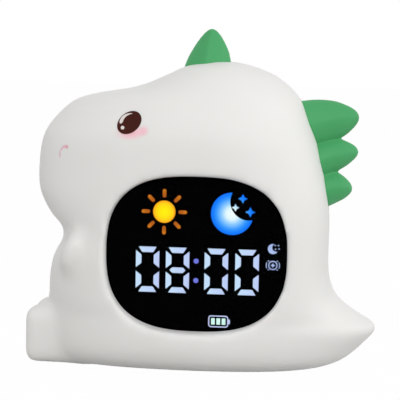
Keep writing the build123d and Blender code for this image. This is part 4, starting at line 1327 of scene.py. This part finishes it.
@dataclass
class FacePrints:
    """The eyes, printed on both flanks in a dark and a pale ink.

    Attributes:
        centre: middle of the eye, in x and z.
        half: half its long and its short size.
        turn: angle of the long side from level, in degrees.
        gleam: the bright crescent, as offset in x, offset in z and breadth.
        dot: the bright dot, as offset in x, offset in z and radius.
        ink: thickness of the dark ink, half of it sunk in the skin.
        gleam_ink: thickness of the bright ink, which lies over the dark one.
        square: size of the squares into which a print is divided, so that it can bend.
    """

    centre: Point = (-26.6, 110.1)
    half: Point = (5.7, 4.3)
    turn: float = 36.0
    gleam: tuple[Place, ...] = (
        (-3.62, -0.55, 0.3),
        (-3.66, -0.2, 1.15),
        (-3.5, 0.5, 1.45),
        (-3.1, 1.5, 1.35),
        (-2.4, 2.4, 1.15),
        (-1.4, 3.1, 0.85),
        (-0.2, 3.55, 0.5),
        (1.0, 3.75, 0.14),
    )
    dot: Place = (-2.73, -2.24, 0.78)
    ink: float = 0.3
    gleam_ink: float = 0.54
    square: float = 0.7

    def build(self, skin: bpy.types.Object) -> tuple[bpy.types.Object, bpy.types.Object]:
        """Prints the eyes on a finished skin.

        Args:
            skin: the skin, in millimetres.

        Returns:
            The dark eyes and their gleams, in millimetres.
        """
        dark = self._moved(oval(*self.half, 2.0, 64, self.turn))
        x, z, radius = self.dot
        dot = self._moved([(x + a, z + b) for a, b in oval(radius, radius, 2.0, 24)])
        gleam = self._moved(self._crescent())
        eyes, gleams = [], []
        for side in Side:
            eyes.append(self._print(dark, side, skin, self.ink))
            gleams += [self._print(outline, side, skin, self.gleam_ink) for outline in (dot, gleam)]
        return join(eyes, "eye_prints"), join(gleams, "eye_gleams")

    def dress(self, prints: tuple[bpy.types.Object, bpy.types.Object]) -> None:
        """Dresses the dark eyes and their gleams."""
        dark, bright = prints
        finish_piece(dark, EYE_INK)
        finish_piece(bright, GLEAM_INK)

    def _moved(self, outline: Sequence[Point]) -> list[Point]:
        """Moves an outline to the eye's centre and returns it."""
        return [(self.centre[0] + x, self.centre[1] + z) for x, z in outline]

    def _crescent(self) -> list[Point]:
        """Returns the outline of the bright crescent, offset from the eye's centre."""
        rows = between(self.gleam, 4)
        left, right = [], []
        for i, (x, z, breadth) in enumerate(rows):
            before, after = rows[max(i - 1, 0)], rows[min(i + 1, len(rows) - 1)]
            step = Vector((after[0] - before[0], after[1] - before[1])).normalized()
            left.append((x - step.y * breadth / 2, z + step.x * breadth / 2))
            right.append((x + step.y * breadth / 2, z - step.x * breadth / 2))
        return right + left[::-1]

    def _print(
        self, outline: Sequence[Point], side: Side, skin: bpy.types.Object, thick: float
    ) -> bpy.types.Object:
        """Lays one printed shape on a flank.

        Args:
            outline: its points in x and z.
            side: the flank.
            skin: what it lies on.
            thick: thickness of the ink.

        Returns:
            The piece.
        """
        shape = from_rings("print", [[(x, OUTSIDE * side.value, z) for x, z in outline]])
        self._divide(shape, outline)
        apply_modifier(
            shape,
            "SHRINKWRAP",
            target=skin,
            wrap_method="PROJECT",
            use_project_y=True,
            use_positive_direction=side is Side.DISPLAY,
            use_negative_direction=side is Side.KEYS,
        )
        apply_modifier(shape, "SOLIDIFY", thickness=thick, offset=0.0)
        return shape

    def _divide(self, shape: bpy.types.Object, outline: Sequence[Point]) -> None:
        """Cuts a flat shape into small squares.

        Args:
            shape: the flat piece.
            outline: its points in x and z.
        """
        open_mesh(shape)
        for axis, normal in ((0, (1, 0, 0)), (1, (0, 0, 1))):
            low, high = min(p[axis] for p in outline), max(p[axis] for p in outline)
            for count in range(1, int((high - low) / self.square) + 1):
                at = low + count * self.square
                bpy.ops.mesh.select_all(action="SELECT")
                bpy.ops.mesh.bisect(plane_co=(at, 0, at), plane_no=normal)
        leave_edit()


# ---------------------------------------------------------------- rear panel
class KeySign(Enum):
    """What a key does, shown by the sign printed over it."""

    SET = "a clock face"
    DOWN = "a minus"
    UP = "a plus"
    ALARM = "a bell"
    LIGHT = "a lamp's rays"
    SOUND = "a loudspeaker"

    def outlines(self) -> list[list[Point]]:
        """Returns the outlines of the sign, in millimetres about its middle."""
        bar = [(-1.3, -0.22), (1.3, -0.22), (1.3, 0.22), (-1.3, 0.22)]
        if self is KeySign.SET:
            hands = [(-0.17, -0.17), (0.85, -0.17), (0.85, 0.17), (0.17, 0.17), (0.17, 1.05), (-0.17, 1.05)]
            return [ring_outline(1.6, 0.32), hands]
        if self is KeySign.DOWN:
            return [bar]
        if self is KeySign.UP:
            quarter = [(0.22, 0.22), (0.22, 1.3), (-0.22, 1.3)]
            return [[turned(point, 90 * count) for count in range(4) for point in quarter]]
        if self is KeySign.ALARM:
            bell = [(1.5, -0.95), (1.5, -0.7), (1.05, -0.3), (0.95, 0.55), (0.55, 1.15), (0.0, 1.35)]
            clapper = [(x, z - 1.35) for x, z in oval(0.42, 0.25, 2.0, 16)]
            return [bell + [(-x, z) for x, z in bell[-2::-1]], clapper]
        if self is KeySign.LIGHT:
            ray = [(-0.16, 1.15), (0.16, 1.15), (0.16, 1.7), (-0.16, 1.7)]
            rays = [[turned(point, 45 * count) for point in ray] for count in range(8)]
            return [oval(0.75, 0.75, 2.0, 24), *rays]
        horn = [(-1.5, -0.45), (-0.8, -0.45), (0.1, -1.25), (0.1, 1.25), (-0.8, 0.45), (-1.5, 0.45)]
        return [horn, arc_outline(0.85, 0.28, 42.0), arc_outline(1.55, 0.28, 48.0)]


def arc_outline(radius: float, breadth: float, half_angle: float, steps: int = 12) -> list[Point]:
    """Outline of a curved line that opens to the left.

    Args:
        radius: of its middle line.
        breadth: of the line.
        half_angle: half the angle it covers, in degrees.
        steps: how many steps along it.

    Returns:
        The outline's points.
    """
    angles = [-half_angle + 2 * half_angle * i / steps for i in range(steps + 1)]
    outer = [turned((radius + breadth / 2, 0.0), angle) for angle in angles]
    inner = [turned((radius - breadth / 2, 0.0), angle) for angle in angles]
    return outer + inner[::-1]


def ring_outline(radius: float, breadth: float) -> list[Point]:
    """Outline of a ring, as a band that all but closes.

    Args:
        radius: of its outer edge.
        breadth: of the band.

    Returns:
        The outline's points.
    """
    return arc_outline(radius - breadth / 2, breadth, 179.4, 48)


@dataclass
class KeySigns:
    """Signs printed on the rear panel over the keys.

    Attributes:
        panel: depth of the panel's face.
        height: of the signs' middle.
        first: x of the first sign.
        pitch: from one key to the next.
        ink: thickness of the print, half of it sunk in the panel.
    """

    panel: float = PANEL_FACE
    height: float = 48.4
    first: float = -23.1
    pitch: float = 10.2
    ink: float = 0.12

    def build(self) -> bpy.types.Object:
        """Returns the signs, in millimetres. Seen from behind, the first key is on the right."""
        shapes = []
        for count, sign in enumerate(KeySign):
            x = self.first + count * self.pitch
            for outline in sign.outlines():
                ring = [(x - a, self.panel, self.height + b) for a, b in outline]
                shapes.append(from_rings("sign", [ring]))
        for shape in shapes:
            apply_modifier(shape, "SOLIDIFY", thickness=self.ink, offset=0.0)
        return join(shapes, "key_signs")

    def dress(self, signs: bpy.types.Object) -> None:
        """Dresses the signs."""
        finish_piece(signs, SIGN_INK)


# ---------------------------------------------------------------- studio
def looking(place: Vector, aim: Vector) -> Matrix:
    """Returns the matrix of a camera or a lamp that looks from a place at an aim."""
    return Matrix.Translation(place) @ (aim - place).to_track_quat("-Z", "Y").to_matrix().to_4x4()


@dataclass
class Studio:
    """Pale floor, white surroundings, soft lamps and the camera. Lengths are in metres.

    Attributes:
        aim: what the camera looks at.
        azimuth: of the camera, towards +X, in degrees.
        elevation: of the camera, in degrees.
        roll: of the camera about its own axis, in degrees.
        distance: from the camera to its aim.
        lens: focal length in millimetres.
        sensor: width of the camera's sensor in millimetres.
        nearest: what is nearer to the camera than this isn't seen.
        ambient: strength of the surroundings.
        lamps: place, size and power of each lamp.
        lit_floor: share of the floor's own light in what the camera sees of it.
        floor_size: side of the floor.
    """

    aim: Place = (0.0002, 0.0, 0.0743)
    azimuth: float = 6.5
    elevation: float = 6.0
    roll: float = 1.0
    distance: float = 0.7
    lens: float = 141.0
    sensor: float = 36.0
    nearest: float = 0.01
    ambient: float = 0.58
    lamps: tuple[tuple[str, Place, float, float], ...] = (
        ("key_lamp", (0.12, -1.12, 0.7), 0.8, 5.5),
        ("side_lamp", (0.95, -0.1, 0.4), 0.8, 2.4),
    )
    lit_floor: float = 0.985
    floor_size: float = 8.0

    def camera(self) -> None:
        """Places the camera."""
        data = bpy.data.cameras.new("camera")
        data.lens = self.lens
        data.sensor_width = self.sensor
        data.clip_start = self.nearest
        camera = bpy.data.objects.new("camera", data)
        turn, rise = math.radians(self.azimuth), math.radians(self.elevation)
        away = Vector((math.sin(turn) * math.cos(rise), -math.cos(turn) * math.cos(rise), math.sin(rise)))
        aim = Vector(self.aim)
        roll = Matrix.Rotation(math.radians(self.roll), 4, "Z")
        camera.matrix_world = looking(aim + away * self.distance, aim) @ roll
        bpy.context.scene.collection.objects.link(camera)
        bpy.context.scene.camera = camera

    def build(self) -> None:
        """Builds the floor, the surroundings and the lamps."""
        deselect()
        bpy.ops.mesh.primitive_plane_add(size=self.floor_size, location=(0, 0, 0))
        floor = bpy.context.object
        floor.name = "floor"
        settle(floor)
        floor.data.materials.append(self._paper())
        self._surroundings()
        for name, place, size, power in self.lamps:
            data = bpy.data.lights.new(name, "AREA")
            data.shape = "DISK"
            data.size = size
            data.energy = power
            lamp = bpy.data.objects.new(name, data)
            lamp.matrix_world = looking(Vector(place), Vector(self.aim))
            bpy.context.scene.collection.objects.link(lamp)
        bpy.context.scene.view_settings.view_transform = "Standard"

    def _seen(self, tree: bpy.types.NodeTree) -> bpy.types.NodeSocket:
        """Returns a value that is 1 for what the camera sees, also in gloss and through clear parts.

        Args:
            tree: a node tree.

        Returns:
            The value.
        """
        path = add_node(tree, "ShaderNodeLightPath")
        mirrored = add_node(
            tree,
            "ShaderNodeMath",
            {"operation": "MAXIMUM"},
            {0: path.outputs["Is Camera Ray"], 1: path.outputs["Is Glossy Ray"]},
        )
        seen = add_node(
            tree,
            "ShaderNodeMath",
            {"operation": "MAXIMUM"},
            {0: mirrored.outputs["Value"], 1: path.outputs["Is Transmission Ray"]},
        )
        return seen.outputs["Value"]

    def _paper(self) -> bpy.types.Material:
        """Returns white background paper, which keeps a faint shadow."""
        material, tree, shader = new_material("background_paper", Roughness=0.9, Specular_IOR_Level=0.1)
        vary(tree, shader, grain(tree, pitch=60.0), "C8C8C7", "CCCCCB")
        glow = add_node(tree, "ShaderNodeEmission", {"Color": linear("FFFFFF"), "Strength": 1.0})
        share = add_node(
            tree, "ShaderNodeMath", {"operation": "MULTIPLY", 1: self.lit_floor}, {0: self._seen(tree)}
        )
        mixed = add_node(
            tree,
            "ShaderNodeMixShader",
            links={0: share.outputs["Value"], 1: shader.outputs["BSDF"], 2: glow.outputs["Emission"]},
        )
        tree.links.new(mixed.outputs["Shader"], tree.nodes["Material Output"].inputs["Surface"])
        return material

    def _surroundings(self) -> None:
        """Lights the world evenly, and shows it white."""
        world = bpy.data.worlds.new("surroundings")
        world.use_nodes = True
        tree = world.node_tree
        background = tree.nodes["Background"]
        background.inputs["Color"].default_value = linear("FFFFFF")
        strength = add_node(
            tree,
            "ShaderNodeMapRange",
            {"To Min": self.ambient, "To Max": 1.0},
            {"Value": self._seen(tree)},
        )
        tree.links.new(strength.outputs["Result"], background.inputs["Strength"])
        bpy.context.scene.world = world


# ---------------------------------------------------------------- parts shown as they are
@dataclass
class Display:
    """The lit display: lens, mask, light pipes and the board with the lamps behind them.

    Attributes:
        centre: x and z of the window's middle.
        digits: from there to the left edge of each digit.
        digit_width: breadth of a digit.
        colon: from the middle to the dots, in x and z.
        sun: from the middle to the sun.
        moon: from the middle to the moon.
        signs: from the middle to the two small signs.
        battery: from the middle to the battery sign.
        filling: half sizes of what fills the battery sign.
    """

    centre: Point = WINDOW_AT
    digits: tuple[float, ...] = (-26.2, -13.1, 3.6, 16.9)
    digit_width: float = 10.15
    colon: Point = (0.0, -7.5)
    sun: Point = (-14.15, 17.65)
    moon: Point = (15.1, 17.6)
    signs: Point = (32.9, -0.5)
    battery: Point = (10.0, -29.2)
    filling: Point = (3.6, 1.9)

    def dress(self, frame: dict) -> None:
        """Dresses its nodes.

        Args:
            frame: the loaded frame.
        """
        dress(frame, SMOKED_ACRYLIC, "front_lens")
        dress(frame, MASK_PAINT, "display_mask", "unlit_segments")
        dress(frame, GREEN_BOARD, "display_board")
        dress(frame, LAMP_EPOXY, "display_leds")
        dress(frame, ZINC_SCREW, "display_screws")
        dress(frame, AMBER_FILM, "display_ribbon")
        self._light(frame)

    def _light(self, frame: dict) -> None:
        """Dresses the light pipes.

        Args:
            frame: the loaded frame.
        """
        ends = ((0.0, "C4E0FA"), (self.digit_width, "BCCBF5"))
        # Milky resin over cold lamps: ice blue, turning violet towards the right of each digit.
        digits = Glow(
            "milky_ice_blue_resin",
            tuple((edge + along, code) for edge in self.digits for along, code in ends),
            Spread.ACROSS,
            centre=self.centre,
        )
        dress(frame, digits, "digit_segments")
        # The same resin, dyed: two dimmer violet dots.
        dots = Glow("milky_violet_resin", ((0.0, "767FE6"), (10.0, "5F68CC")), centre=self._at(self.colon))
        dress(frame, dots, "colon_dots")
        # Film printed in yellow and brown: a bright disk with a ring of dark orange rays.
        disk = ((0.0, "FFF500"), (2.4, "FFE600"), (3.9, "FFCB12"), (4.85, "F59A14"))
        rays = ((5.6, "9C4C0E"), (7.8, "B4600F"), (9.8, "D07B1C"))
        dress(frame, Glow("sun_printed_film", disk + rays, centre=self._at(self.sun)), "sun_icon")
        # Film printed in blues: almost white in the crescent's hollow, deep blue at its rim.
        hollow = ((0.0, "F6FEFF"), (2.5, "E0F8FF"), (4.5, "8CCBFF"))
        rim = ((6.5, "3A9CFF"), (8.0, "0A7DFF"), (9.1, "0070FA"))
        dress(frame, Glow("moon_printed_film", hollow + rim, centre=self._at(self.moon)), "moon_icon")
        # Milky resin, a little darker than the digits: small pale signs.
        signs = Glow("milky_blue_resin", ((0.0, "B4C8F5"), (6.0, "9FB2E6")), centre=self._at(self.signs))
        dress(frame, signs, "status_icons")
        # Film in two colours: a mint filling inside a lilac line.
        battery = Glow(
            "battery_printed_film",
            ((0.0, "DAFDF6"), (0.99, "CCFAEE"), (1.01, "BEC8F0"), (2.0, "BEC8F0")),
            Spread.BOX,
            centre=self._at(self.battery),
            box=self.filling,
        )
        dress(frame, battery, "battery_icon")

    def _at(self, offset: Point) -> Point:
        """Returns the x and z of a place given from the window's middle."""
        return self.centre[0] + offset[0], self.centre[1] + offset[1]


@dataclass(frozen=True)
class Module:
    """A sub-assembly that is shown as it was framed, only with the finish of each of its nodes.

    Attributes:
        name: what it is.
        finishes: each finish with the nodes that get it.
    """

    name: str
    finishes: tuple[tuple[Finish, tuple[str, ...]], ...]

    def dress(self, frame: dict) -> None:
        """Dresses its nodes.

        Args:
            frame: the loaded frame.
        """
        LOG.info("dressing the %s", self.name)
        for finish, nodes in self.finishes:
            dress(frame, finish, *nodes)


MODULES = (
    Module(
        "rear panel",
        (
            (WHITE_ABS, ("rear_housing", "front_housing")),
            (GREEN_ABS, ("key_set", "key_down", "key_up", "key_alarm", "key_light", "key_sound")),
            (ZINC_SCREW, ("housing_screws",)),
        ),
    ),
    Module(
        "main board",
        (
            (GREEN_BOARD, ("main_board",)),
            (BLACK_EPOXY, ("control_chip", "tap_sensor")),
            (WHITE_NYLON, ("battery_plug", "tact_switches")),
            (BLACK_ABS, ("power_switch", "switch_knob", "usb_tongue")),
            (TIN_SHELL, ("usb_socket",)),
            (ZINC_SCREW, ("board_screws",)),
        ),
    ),
    Module(
        "loudspeaker",
        (
            (TIN_SHELL, ("speaker_frame",)),
            (PAPER_CONE, ("speaker_cone",)),
            (NICKEL_MAGNET, ("speaker_magnet",)),
        ),
    ),
    Module(
        "battery",
        (
            (BLUE_WRAP, ("battery_cell",)),
            (WHITE_ABS, ("battery_cradle",)),
            (BLACK_SLEEVE, ("battery_cable",)),
        ),
    ),
    Module(
        "night light",
        (
            (WHITE_ABS, ("lamp_saddle",)),
            (GREEN_BOARD, ("lamp_board",)),
            (LAMP_EPOXY, ("lamp_leds",)),
            (FROSTED_DOME, ("lamp_diffuser",)),
            (BLACK_SLEEVE, ("lamp_cable",)),
            (ZINC_SCREW, ("lamp_screws",)),
        ),
    ),
    Module(
        "base",
        (
            (WHITE_ABS, ("base_plate",)),
            (GREY_PAD, ("antislip_pad",)),
            (ZINC_SCREW, ("base_screws",)),
        ),
    ),
)


def main() -> None:
    """Builds the clock and its studio."""
    logging.basicConfig(level=logging.INFO, format="%(name)s: %(message)s")
    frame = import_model()
    studio = Studio()
    studio.camera()

    spikes, body, prints, signs = GreenSpikes(), SiliconeSkin(), FacePrints(), KeySigns()
    green = spikes.build()
    skin = body.build(spikes.sockets(green))
    eyes = prints.build(skin)
    labels = signs.build()

    body.dress(skin)
    spikes.dress(green)
    prints.dress(eyes)
    signs.dress(labels)
    Display().dress(frame)
    for module in MODULES:
        module.dress(frame)

    studio.build()


if __name__ == "__main__":
    main()
